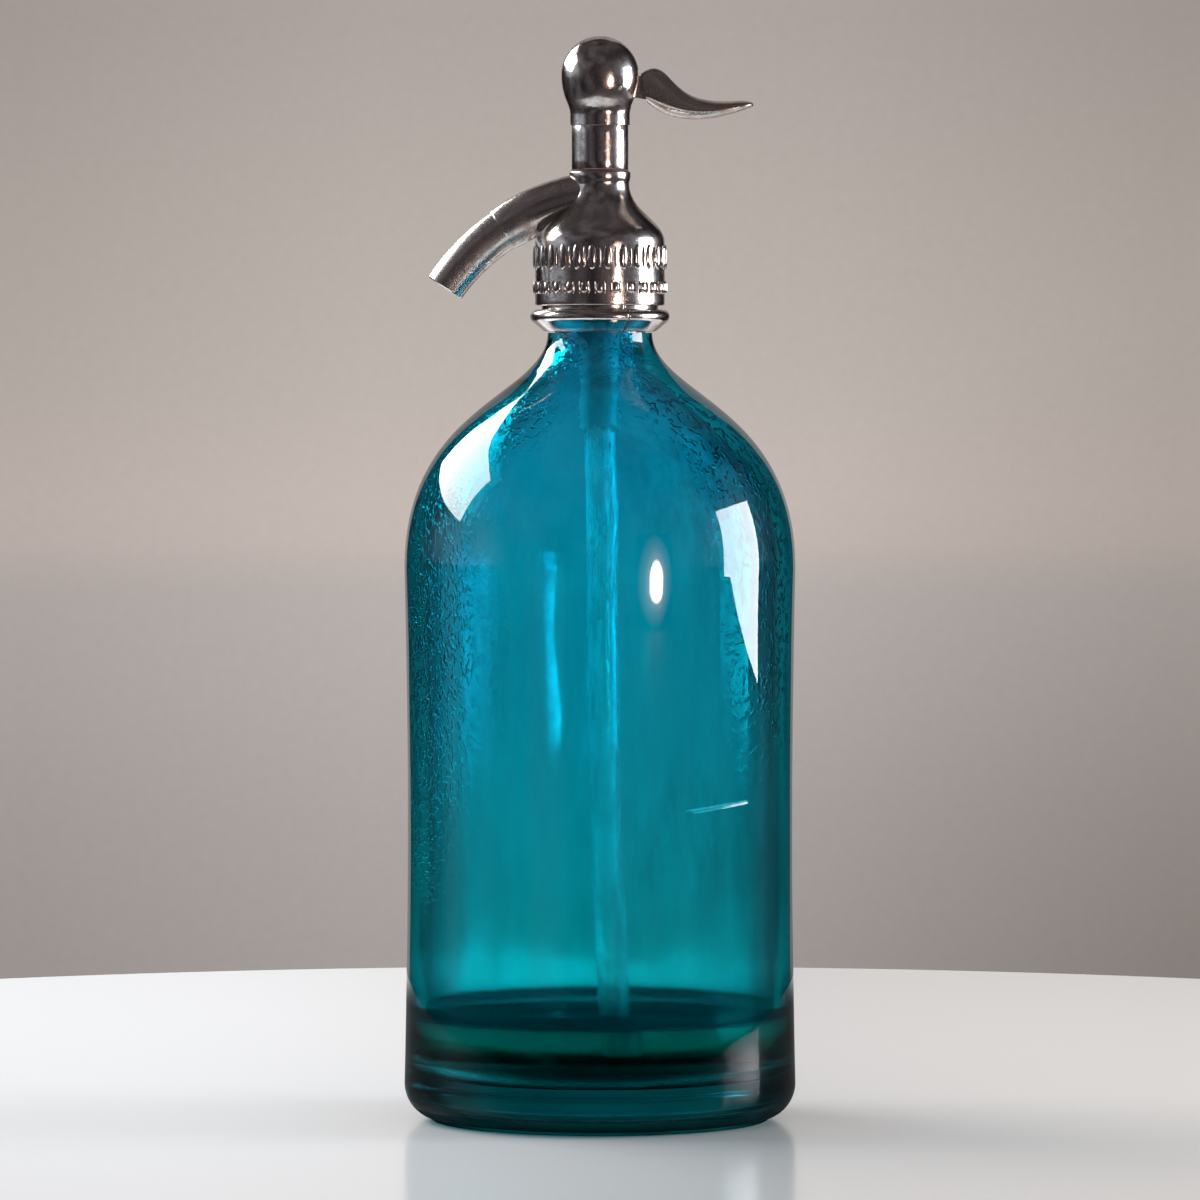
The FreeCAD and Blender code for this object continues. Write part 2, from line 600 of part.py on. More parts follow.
def build_valve_seat():
    return turned("valve_seat", ("seat_bore", CEILING), [
        to("seat_flange_radius", CEILING),
        to("seat_flange_radius", CEILING + " + seat_flange"),
        to("seat_screw_radius", CEILING + " + seat_flange"),
        to("seat_screw_radius", CHAMBER_FLOOR),
        to("seat_nozzle_radius", CHAMBER_FLOOR),
        to("seat_nozzle_radius", SEAT_TOP),
        to("seat_bore", SEAT_TOP),
    ])


# ---- spout tube -------------------------------------------------------------------------------

def build_spout_tube():
    """A bent tube that tapers from its socket to its mouth."""
    body = new_body("spout_tube")
    root = bend_sketch(body, "spout_root_section", "socket_seat_angle")
    draw_circle(root, AXIS, "spout_bend", "spout_root_radius")
    mouth = bend_sketch(body, "spout_mouth_section", "spout_angle")
    draw_circle(mouth, AXIS, "spout_bend", "spout_mouth_radius")
    path = new_sketch(body, "XZ_Plane", "spout_path")
    on_bend = ("spout_bend_x - spout_bend * sin(%s * 1deg)", BEND_Z + " + spout_bend * cos(%s * 1deg)")
    start, end = [tuple(place % turn for place in on_bend) for turn in ("socket_seat_angle", "spout_angle")]
    draw(path, start, [turn_left(end[0], end[1], "spout_bend")], closed=False)
    pipe = body.newObject("PartDesign::AdditivePipe", "spout_pipe")
    pipe.Profile = root
    pipe.Spine = (path, [])
    pipe.Transformation = "Multisection"
    pipe.Sections = [(mouth, [])]
    bent_rod(body, "spout_bore", "spout_bore", "socket_seat_angle", "spout_angle", "Groove")
    return body


# ---- spring barrel, guide bush and dome cap ---------------------------------------------------

def build_spring_barrel():
    return turned("spring_barrel", ("barrel_bore", SPIGOT_BASE), [
        to("spigot_radius", SPIGOT_BASE),
        to("spigot_radius", BARREL_BASE),
        to("barrel_radius", BARREL_BASE),
        to("barrel_radius", BARREL_TOP),
        to("barrel_neck_radius", BARREL_TOP),
        to("barrel_neck_radius", NECK_TOP),
        to("barrel_bore", NECK_TOP),
    ])


def build_guide_bush():
    bore = "rod_radius + bush_fit"
    outer = "barrel_bore - bush_fit"
    return turned("guide_bush", (bore, BARREL_TOP), [
        to(outer, BARREL_TOP),
        to(outer, NECK_TOP),
        to("barrel_neck_radius", NECK_TOP),
        to("barrel_neck_radius", BUSH_TOP),
        to(bore, BUSH_TOP),
    ])


def build_dome_cap():
    throat_base = BUSH_TOP + " + dome_step_gap"
    screw = "barrel_neck_radius + screw_fit"
    body = turned("dome_cap", (screw, BARREL_TOP), [
        to("dome_collar_radius", BARREL_TOP),
        to("dome_collar_radius", BARREL_TOP + " + dome_collar"),
        swell("dome_radius", DOME_Z, "dome_low_pull", "dome_high_pull"),
        turn_left(AXIS, DOME_Z + " + dome_radius", "dome_radius"),
        to(AXIS, DOME_Z + " + dome_radius - dome_wall"),
        turn_right("dome_radius - dome_wall", DOME_Z, "dome_radius - dome_wall"),
        to("dome_throat", throat_base),
        to(screw, throat_base),
    ])
    slot = new_sketch(body, "YZ_Plane", "lever_slot_outline")
    half_slot = "(tongue_thickness / 2 + slot_clearance)"
    slot_base = DOME_Z + " - slot_drop"
    slot_top = DOME_Z + " + slot_rise"
    draw(slot, ("-" + half_slot, slot_base), [
        to(half_slot, slot_base),
        to(half_slot, slot_top),
        to("-" + half_slot, slot_top),
    ])
    pocket = body.newObject("PartDesign::Pocket", "lever_slot")
    pocket.Profile = slot
    pocket.Reversed = True
    pocket.setExpression("Length", bound("dome_radius + dome_wall"))
    pin_hole = plate(body, "pin_hole", "2 * (dome_radius + dome_wall)", "Pocket")
    draw_circle(pin_hole, "pin_x", PIN_Z, "pin_radius")
    return body


# ---- piston -----------------------------------------------------------------------------------

def build_valve_cup():
    screw = "tail_radius + screw_fit"
    outer = "valve_radius + cup_wall"
    return turned("valve_cup", (AXIS, CUP_ROOF), [
        to("valve_radius", CUP_ROOF),
        to("valve_radius", CUP_BASE),
        to(outer, CUP_BASE),
        to(outer, CUP_SHOULDER),
        to("cup_neck_radius", CUP_SHOULDER),
        to("cup_neck_radius", CUP_TOP),
        to(screw, CUP_TOP),
        to(screw, CUP_SHOULDER),
        to(AXIS, CUP_SHOULDER),
    ])


def build_piston_rod():
    """The rod that the lever lifts, with a flange for the spring and a window for the nose."""
    flange = "barrel_bore - washer_gap"
    body = turned("piston_rod", (AXIS, CUP_SHOULDER), [
        to("tail_radius", CUP_SHOULDER),
        to("tail_radius", FLANGE_BASE),
        to(flange, FLANGE_BASE),
        to(flange, FLANGE_TOP),
        to("rod_radius", FLANGE_TOP),
        to("rod_radius", ROD_TOP),
        to(AXIS, ROD_TOP),
    ])
    window = new_sketch(body, "YZ_Plane", "rod_window_outline")
    draw(window, ("-window_width / 2", WINDOW_BASE), [
        to("window_width / 2", WINDOW_BASE),
        to("window_width / 2", WINDOW_TOP),
        to("-window_width / 2", WINDOW_TOP),
    ])
    pocket = body.newObject("PartDesign::Pocket", "rod_window")
    pocket.Profile = window
    pocket.SideType = "Symmetric"
    pocket.setExpression("Length", bound("2 * (rod_radius + window_width)"))
    return body


# ---- spring -----------------------------------------------------------------------------------

def build_spring():
    """A thin wire wound from the rod's flange to the guide bush, its section an octagon."""
    coil_height = "%s - (%s) - 2 * spring_wire" % (BARREL_TOP, SPRING_BASE)
    helix = doc.addObject("Part::Helix", "spring_helix")
    helix.setExpression("Radius", bound("spring_radius"))
    helix.setExpression("Height", bound(coil_height))
    helix.setExpression("Pitch", bound("(%s) / spring_turns" % coil_height))
    helix.setExpression(".Placement.Base.z", bound(SPRING_BASE + " + spring_wire"))
    wire = doc.addObject("Part::RegularPolygon", "spring_wire_section")
    wire.Polygon = WIRE_SIDES
    wire.Placement.Rotation = FreeCAD.Rotation(FreeCAD.Vector(1, 0, 0), 90)
    wire.setExpression("Circumradius", bound("spring_wire"))
    wire.setExpression(".Placement.Base.x", bound("spring_radius"))
    wire.setExpression(".Placement.Base.z", bound(SPRING_BASE + " + spring_wire"))
    spring = doc.addObject("Part::Sweep", "spring")
    spring.Sections = [wire]
    spring.Spine = (helix, [])
    spring.Solid = True
    spring.Frenet = True
    return spring


# ---- lever and its pin ------------------------------------------------------------------------

def build_lever_pin():
    half_length = "(sqrt(dome_radius ^ 2 - pin_x ^ 2) - pin_recess)"
    pin = doc.addObject("Part::Cylinder", "lever_pin")
    pin.Placement.Rotation = FreeCAD.Rotation(FreeCAD.Vector(1, 0, 0), -90)
    pin.setExpression("Radius", bound("pin_radius"))
    pin.setExpression("Height", bound("2 * " + half_length))
    pin.setExpression(".Placement.Base.x", bound("pin_x"))
    pin.setExpression(".Placement.Base.y", bound("-" + half_length))
    pin.setExpression(".Placement.Base.z", bound(PIN_Z))
    return pin


def build_tongue():
    """The part of the lever inside the dome: tongue, hub, arm and nose, drilled for the pin."""
    body = new_body("lever_tongue")
    tongue = plate(body, "tongue", "tongue_thickness")
    draw(tongue, ("pin_x", PIN_Z + " - hub_radius"), [
        to("pin_x + root_low_out", PIN_Z + " - root_low_down + tongue_inset"),
        to("pin_x + root_low_out + tongue_grip", PIN_Z + " - root_low_down + 2 * tongue_inset"),
        to("pin_x + root_top_out + tongue_grip", PIN_Z + " + root_top_up - 2 * tongue_inset"),
        to("pin_x + root_top_out", PIN_Z + " + root_top_up - tongue_inset"),
        to("pin_x", PIN_Z + " + hub_radius"),
    ])
    hub = plate(body, "hub", "tongue_thickness")
    draw_circle(hub, "pin_x", PIN_Z, "hub_radius")
    arm = plate(body, "arm", "nose_thickness")
    side = "arm_height / 2 * %s(nose_angle * 1deg)"
    across, up = side % "sin", side % "cos"
    draw(arm, ("pin_x + " + across, PIN_Z + " - " + up), [
        to("pin_x - " + across, PIN_Z + " + " + up),
        to(NOSE_X + " - " + across, NOSE_Z + " + " + up),
        to(NOSE_X + " + " + across, NOSE_Z + " - " + up),
    ])
    nose = plate(body, "nose", "nose_thickness")
    draw_circle(nose, NOSE_X, NOSE_Z, "nose_radius")
    pin_hole = plate(body, "pin_hole", "2 * tongue_thickness", "Pocket")
    draw_circle(pin_hole, "pin_x", PIN_Z, "pin_radius + pin_fit")
    return body


def build_blade():
    """The horn-shaped blade: oval sections strung between its upper and its lower edge."""
    pin = FreeCAD.Vector(value("pin_x"), 0, value(PIN_Z))

    def place(out, up):
        return pin + FreeCAD.Vector(value(out), 0, value(up))

    half_tip = FreeCAD.Vector(0, 0, value("tip_height") / 2)
    tip = place("tip_out", "-tip_down")
    upper = Part.BezierCurve()
    upper.setPoles([place("root_top_out", "root_top_up"), place("hump_out", "hump_up"),
                    place("dip_out", "-dip_down"), place("rest_out", "-rest_down"), tip + half_tip])
    lower = Part.BezierCurve()
    lower.setPoles([place("root_low_out", "-root_low_down"), place("keel_out", "-keel_down"),
                    tip - half_tip])
    tip_share = value("tip_width / pad_width")
    sections = []
    for index in range(BLADE_SECTIONS):
        along = math.sin(math.pi / 2 * index / (BLADE_SECTIONS - 1))
        top, bottom = upper.value(along), lower.value(along)
        width = value("root_width") + (value("pad_width") - value("root_width")) * along
        taper = math.sqrt(1 - (1 - tip_share ** 2) * along ** TIP_POWER)
        sections.append(oval((top + bottom) / 2, (top - bottom) / 2, width * taper / 2))
    blade = doc.addObject("Part::Feature", "lever_blade")
    blade.Shape = Part.makeLoft(sections, True)
    return blade


def oval(centre, half_height, half_width):
    """An oval wire round a centre, upright along half_height and wide along the Y axis. Its
    widest line, the ridge on each flank, lies below the centre."""
    ridge = centre - half_height * RIDGE_DROP
    points = []
    for index in range(OVAL_POINTS):
        turn = 2 * math.pi * index / OVAL_POINTS
        reach = 1 + RIDGE_DROP if turn < math.pi else 1 - RIDGE_DROP
        across = FreeCAD.Vector(0, half_width * math.cos(turn), 0)
        points.append(ridge + across + half_height * reach * math.sin(turn))
    curve = Part.BSplineCurve()
    curve.interpolate(points, PeriodicFlag=True)
    return Part.Wire(curve.toShape())


def build_lever():
    lever = doc.addObject("Part::MultiFuse", "lever")
    lever.Shapes = [build_tongue(), build_blade()]
    return lever


# ---- assembly ---------------------------------------------------------------------------------

screw_bore = "tail_radius + screw_fit"
nodes = [
    build_bottle(),
    build_ring_half("neck_ring_right", "ring_split_angle"),
    build_ring_half("neck_ring_left", "ring_split_angle + 180"),
    flat_ring("mouth_gasket", "mouth_bore", GASKET_EDGE, MOUTH, HOLDER_BASE),
    build_tube_holder(),
    flat_ring("tube_sleeve", "tube_radius + tube_fit", "tube_radius + tube_fit + sleeve_wall",
              STUB_BASE + " - sleeve_length", STUB_BASE),
    build_dip_tube(),
    flat_ring("head_gasket", "flow_radius", GASKET_EDGE, HOLDER_TOP, CEILING),
    build_head_body(),
    build_valve_seat(),
    build_spout_tube(),
    flat_ring("barrel_gasket", "spigot_radius + screw_fit", "barrel_radius", HEAD_TOP, BARREL_BASE),
    build_spring_barrel(),
    build_guide_bush(),
    build_dome_cap(),
    build_lever_pin(),
    turned("valve_rubber", (AXIS, SEAT_TOP), [
        to("valve_radius", SEAT_TOP), to("valve_radius", CUP_ROOF), to(AXIS, CUP_ROOF)]),
    build_valve_cup(),
    flat_ring("seal_washer", screw_bore, "barrel_bore - washer_gap", CUP_TOP, SEAL_BASE),
    flat_ring("piston_seal", screw_bore, "barrel_bore - seal_fit", SEAL_BASE, FLANGE_BASE),
    build_piston_rod(),
    build_spring(),
    build_lever(),
]
doc.recompute()

for item in doc.Objects:
    if "Invalid" in item.State or "Error" in item.State:
        raise RuntimeError("%s failed: %s" % (item.Label, item.State))
for node in nodes:
    if node.Shape.isNull() or not node.Shape.isValid() or node.Shape.Volume <= 0:
        raise RuntimeError("%s has no valid shape" % node.Label)

os.makedirs("parts", exist_ok=True)
for node in nodes:
    node.Shape.exportStep("parts/%s.step" % node.Label)
    print("%-16s %8.0f mm3, %d solid(s)" % (node.Label, node.Shape.Volume, len(node.Shape.Solids)))
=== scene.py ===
"""A soda siphon: tinted glass bottle, plated head, curved spout and thumb lever.

Shapes are given in millimetres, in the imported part's own frame, and turned to metres when a mesh
is made. The bottle stands on its foot at the origin, with the spout towards -X and the lever
towards +X.
"""

import math

import bmesh
import bpy
from mathutils import Matrix, Vector, noise


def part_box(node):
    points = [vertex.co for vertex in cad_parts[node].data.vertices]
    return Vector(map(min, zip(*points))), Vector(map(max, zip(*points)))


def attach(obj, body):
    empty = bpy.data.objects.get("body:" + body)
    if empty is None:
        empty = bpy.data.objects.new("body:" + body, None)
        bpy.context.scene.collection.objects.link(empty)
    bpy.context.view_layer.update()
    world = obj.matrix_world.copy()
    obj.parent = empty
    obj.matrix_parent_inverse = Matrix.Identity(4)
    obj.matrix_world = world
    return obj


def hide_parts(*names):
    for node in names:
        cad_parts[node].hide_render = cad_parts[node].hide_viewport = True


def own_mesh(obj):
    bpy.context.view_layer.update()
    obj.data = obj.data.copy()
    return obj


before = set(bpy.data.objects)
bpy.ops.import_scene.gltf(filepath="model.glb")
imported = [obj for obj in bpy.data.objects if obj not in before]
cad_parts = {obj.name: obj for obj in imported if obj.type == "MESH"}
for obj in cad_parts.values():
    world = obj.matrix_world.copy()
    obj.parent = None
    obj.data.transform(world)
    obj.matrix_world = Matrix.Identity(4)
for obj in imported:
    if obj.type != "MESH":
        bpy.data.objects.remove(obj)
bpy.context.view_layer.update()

MM = 0.001
STEPS = 192
SHARP = math.radians(35)
X, Y, Z = Vector((1, 0, 0)), Vector((0, 1, 0)), Vector((0, 0, 1))


def span(node):
    """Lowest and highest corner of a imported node, in millimetres."""
    low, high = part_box(node)
    return low / MM, high / MM


# ---- sizes in millimetres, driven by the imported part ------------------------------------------

GLASS_LOW, GLASS_HIGH = span("glass_bottle")
RING_LOW, RING_HIGH = span("neck_ring_right")
HEAD_LOW, HEAD_HIGH = span("head_body")
BARREL_LOW, BARREL_HIGH = span("spring_barrel")
DOME_LOW, DOME_HIGH = span("dome_cap")
PIN_LOW, PIN_HIGH = span("lever_pin")
SLEEVE_LOW, SLEEVE_HIGH = span("tube_sleeve")
TUBE_LOW, TUBE_HIGH = span("dip_tube")
SPRING_LOW, SPRING_HIGH = span("spring")

BOTTLE_RADIUS = GLASS_HIGH.x
MOUTH = GLASS_HIGH.z
BEAD_HEIGHT = 5.7
GROOVE_HEIGHT = 9.3
BEAD_BASE = MOUTH - BEAD_HEIGHT
SHOULDER_TOP = BEAD_BASE - GROOVE_HEIGHT
BELLY_TOP = SHOULDER_TOP - 66.0
WALL = 5.0
FLOOR = 12.0
WATER_TOP = 29.2

SKIRT_RADIUS = 18.24
SKIRT_BASE = HEAD_LOW.z
SKIRT_TOP = SKIRT_BASE + 17.4
COLUMN_BASE = SKIRT_TOP + 17.0
COLLAR_BASE = COLUMN_BASE + 1.4
HEAD_TOP = HEAD_HIGH.z
COLUMN_RADIUS = 8.2
COLLAR_RADIUS = 8.6

SPOUT_BEND = 60.0
BEND_X = 6.2
BEND_Z = HEAD_TOP - 6.2 - SPOUT_BEND
SOCKET_RADIUS = 6.75
SOCKET_START = 9.0
SOCKET_SEAT = 25.0
SOCKET_END = 34.0
SPOUT_END = 56.0

DOME_RADIUS = DOME_HIGH.x
DOME_Z = DOME_HIGH.z - DOME_RADIUS
BARREL_BASE = HEAD_TOP + 0.5
BARREL_TOP = DOME_LOW.z
BARREL_RADIUS = BARREL_HIGH.x

PIN_X = (PIN_LOW.x + PIN_HIGH.x) / 2
PIN_Z = (PIN_LOW.z + PIN_HIGH.z) / 2


# ---- outlines ---------------------------------------------------------------------------------

def line(x, z):
    return ("line", x, z, None)


def left(x, z, radius):
    """A round run that turns left."""
    return ("arc", x, z, (radius, 1))


def right(x, z, radius):
    """A round run that turns right."""
    return ("arc", x, z, (radius, -1))


def swell(x, z, pull_here, pull_there):
    """A flowing run, upright at both ends."""
    return ("curve", x, z, (pull_here, pull_there))


def arc_points(start, end, radius, side, count):
    chord = end - start
    middle = (start + end) / 2
    lift = math.sqrt(max(radius ** 2 - (chord.length / 2) ** 2, 0.0))
    centre = middle + Vector((-chord.y, chord.x)).normalized() * side * lift
    first = math.atan2(start.y - centre.y, start.x - centre.x)
    last = math.atan2(end.y - centre.y, end.x - centre.x)
    turn_by = (last - first) % (2 * math.pi) if side > 0 else -((first - last) % (2 * math.pi))
    angles = [first + turn_by * k / count for k in range(1, count + 1)]
    return [centre + radius * Vector((math.cos(a), math.sin(a))) for a in angles]


def bezier(poles, along):
    """A point of a Bezier curve of any degree."""
    while len(poles) > 1:
        poles = [a.lerp(b, along) for a, b in zip(poles, poles[1:])]
    return poles[0]


def trace(start, runs, spacing=1.5):
    """The points of an outline, run by run, no further apart than the spacing."""
    points = [Vector(start)]
    for kind, x, z, shape in runs:
        here, there = points[-1], Vector((x, z))
        if kind == "line":
            count = max(1, math.ceil((there - here).length / spacing))
            points += [here.lerp(there, k / count) for k in range(1, count + 1)]
        elif kind == "arc":
            radius, side = shape
            count = max(5, math.ceil(1.2 * (there - here).length / spacing))
            points += arc_points(here, there, radius, side, count)
        else:
            way = 1 if there.y > here.y else -1
            near = here + Vector((0, way * shape[0]))
            far = there - Vector((0, way * shape[1]))
            count = max(12, math.ceil(1.2 * (there - here).length / spacing))
            points += [bezier([here, near, far, there], k / count) for k in range(1, count + 1)]
    return points


# ---- meshes -----------------------------------------------------------------------------------

def upright(along):
    return Z * along, X, Y


def turn(outline, place=upright, steps=STEPS, loop=False, first=0.0, last=360.0):
    """A turned form: each outline point (radius, place along the axis) becomes a ring.

    place gives the axis at a distance along it: a centre and the two directions across it."""
    whole = last - first >= 360
    count = steps if whole else steps + 1
    angles = [math.radians(first + (last - first) * k / steps) for k in range(count)]
    shape = bmesh.new()
    rings = []
    for radius, along in outline:
        centre, across, sideways = place(along)
        if radius < 1e-6:
            rings.append([shape.verts.new(centre)])
        else:
            rings.append([shape.verts.new(centre + radius * (across * math.cos(a) + sideways * math.sin(a)))
                          for a in angles])
    followers = rings[1:] + (rings[:1] if loop else [])
    for ring, following in zip(rings, followers):
        for k in range(steps):
            ends = (k, (k + 1) % count)
            corners = [ring[e % len(ring)] for e in ends] + [following[e % len(following)] for e in reversed(ends)]
            corners = list(dict.fromkeys(corners))
            if len(corners) > 2:
                shape.faces.new(corners)
    if not whole:
        for k in (0, -1):
            shape.faces.new([ring[k] for ring in rings])
    bmesh.ops.recalc_face_normals(shape, faces=shape.faces)
    return shape


def merge(*shapes):
    """Several shapes as one."""
    whole = bmesh.new()
    for shape in shapes:
        mesh = bpy.data.meshes.new("part")
        shape.to_mesh(mesh)
        shape.free()
        whole.from_mesh(mesh)
        bpy.data.meshes.remove(mesh)
    return whole


def make(name, shape, material, body, replaces=()):
    """A finished piece from a shape in millimetres."""
    mesh = bpy.data.meshes.new(name)
    shape.to_mesh(mesh)
    shape.free()
    mesh.transform(Matrix.Scale(MM, 4))
    mesh.shade_smooth()
    mesh.set_sharp_from_angle(angle=SHARP)
    piece = bpy.data.objects.new(name, mesh)
    bpy.context.scene.collection.objects.link(piece)
    mesh.materials.append(material)
    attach(piece, body)
    if replaces:
        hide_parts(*replaces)
    return piece


def soften(piece, width, segments=2):
    """Round a piece's sharp edges."""
    bevel = piece.modifiers.new("soft_edges", "BEVEL")
    bevel.width = width * MM
    bevel.segments = segments
    bevel.limit_method = "ANGLE"
    bevel.angle_limit = SHARP
    bevel.harden_normals = False
    apply_modifiers(piece)
    piece.data.set_sharp_from_angle(angle=SHARP)
    return piece


def apply_modifiers(piece):
    graph = bpy.context.evaluated_depsgraph_get()
    mesh = bpy.data.meshes.new_from_object(piece.evaluated_get(graph))
    mesh.name = piece.name
    piece.modifiers.clear()
    piece.data = mesh
    return piece


def cut(piece, *cutters):
    """Take shapes away from a piece."""
    for number, cutter in enumerate(cutters):
        mesh = bpy.data.meshes.new("cutter")
        cutter.to_mesh(mesh)
        cutter.free()
        mesh.transform(Matrix.Scale(MM, 4))
        tool = bpy.data.objects.new("cutter_%d" % number, mesh)
        bpy.context.scene.collection.objects.link(tool)
        difference = piece.modifiers.new("cut", "BOOLEAN")
        difference.operation = "DIFFERENCE"
        difference.solver = "EXACT"
        difference.object = tool
        apply_modifiers(piece)
        bpy.data.objects.remove(tool)
    piece.data.set_sharp_from_angle(angle=SHARP)
    return piece


def block(low, high):
    shape = bmesh.new()
    bmesh.ops.create_cube(shape, size=1.0)
    low, high = Vector(low), Vector(high)
    for corner in shape.verts:
        corner.co = Vector(low[k] + (corner.co[k] + 0.5) * (high[k] - low[k]) for k in range(3))
    return shape


# ---- materials --------------------------------------------------------------------------------

def srgb(code, alpha=1.0):
    """The linear colour of an sRGB hex value."""
    channels = [int(code[k:k + 2], 16) / 255 for k in (0, 2, 4)]
    linear = [c / 12.92 if c <= 0.04045 else ((c + 0.055) / 1.055) ** 2.4 for c in channels]
    return (*linear, alpha)


def add(tree, kind, inputs=(), **settings):
    """Add a node: its settings, then its inputs, each a value or another node's output."""
    node = tree.nodes.new(kind)
    for name, setting in settings.items():
        setattr(node, name, setting)
    for name, given in dict(inputs).items():
        if isinstance(given, bpy.types.NodeSocket):
            tree.links.new(given, node.inputs[name])
        else:
            node.inputs[name].default_value = given
    return node


def new_material(name):
    material = bpy.data.materials.new(name)
    material.use_nodes = True
    material.node_tree.nodes.clear()
    return material, material.node_tree


def ramp(tree, factor, *stops):
    """A colour ramp's output; each stop is a place and an sRGB hex value."""
    node = add(tree, "ShaderNodeValToRGB", {"Fac": factor})
    elements = node.color_ramp.elements
    while len(elements) < len(stops):
        elements.new(0.5)
    for element, (place, code) in zip(elements, stops):
        element.position = place
        element.color = srgb(code)
    return node.outputs["Color"]


def between(tree, value, low, high, to_low=0.0, to_high=1.0):
    """A value mapped from one range to another and held there."""
    node = add(tree, "ShaderNodeMapRange", {"Value": value, "From Min": low, "From Max": high,
                                            "To Min": to_low, "To Max": to_high},
               interpolation_type="SMOOTHSTEP")
    return node.outputs["Result"]


def grain(tree, coordinates, size, detail=4.0, roughness=0.6, **settings):
    """Noise whose cells measure about size, in millimetres."""
    node = add(tree, "ShaderNodeTexNoise", {"Vector": coordinates, "Scale": 1 / (size * MM),
                                            "Detail": detail, "Roughness": roughness}, **settings)
    return node.outputs["Fac"]


def arithmetic(tree, operation, a, b):
    return add(tree, "ShaderNodeMath", {0: a, 1: b}, operation=operation).outputs[0]


def place_of(tree):
    return add(tree, "ShaderNodeTexCoord").outputs["Object"]


def let_light_through(tree, surface, tint):
    """Lamps shine through glass: a shadow ray meets a tinted clear sheet instead of the surface."""
    clear = add(tree, "ShaderNodeBsdfTransparent", {"Color": srgb(tint)})
    path = add(tree, "ShaderNodeLightPath")
    return add(tree, "ShaderNodeMixShader", {0: path.outputs["Is Shadow Ray"], 1: surface,
                                             2: clear.outputs[0]}).outputs[0]


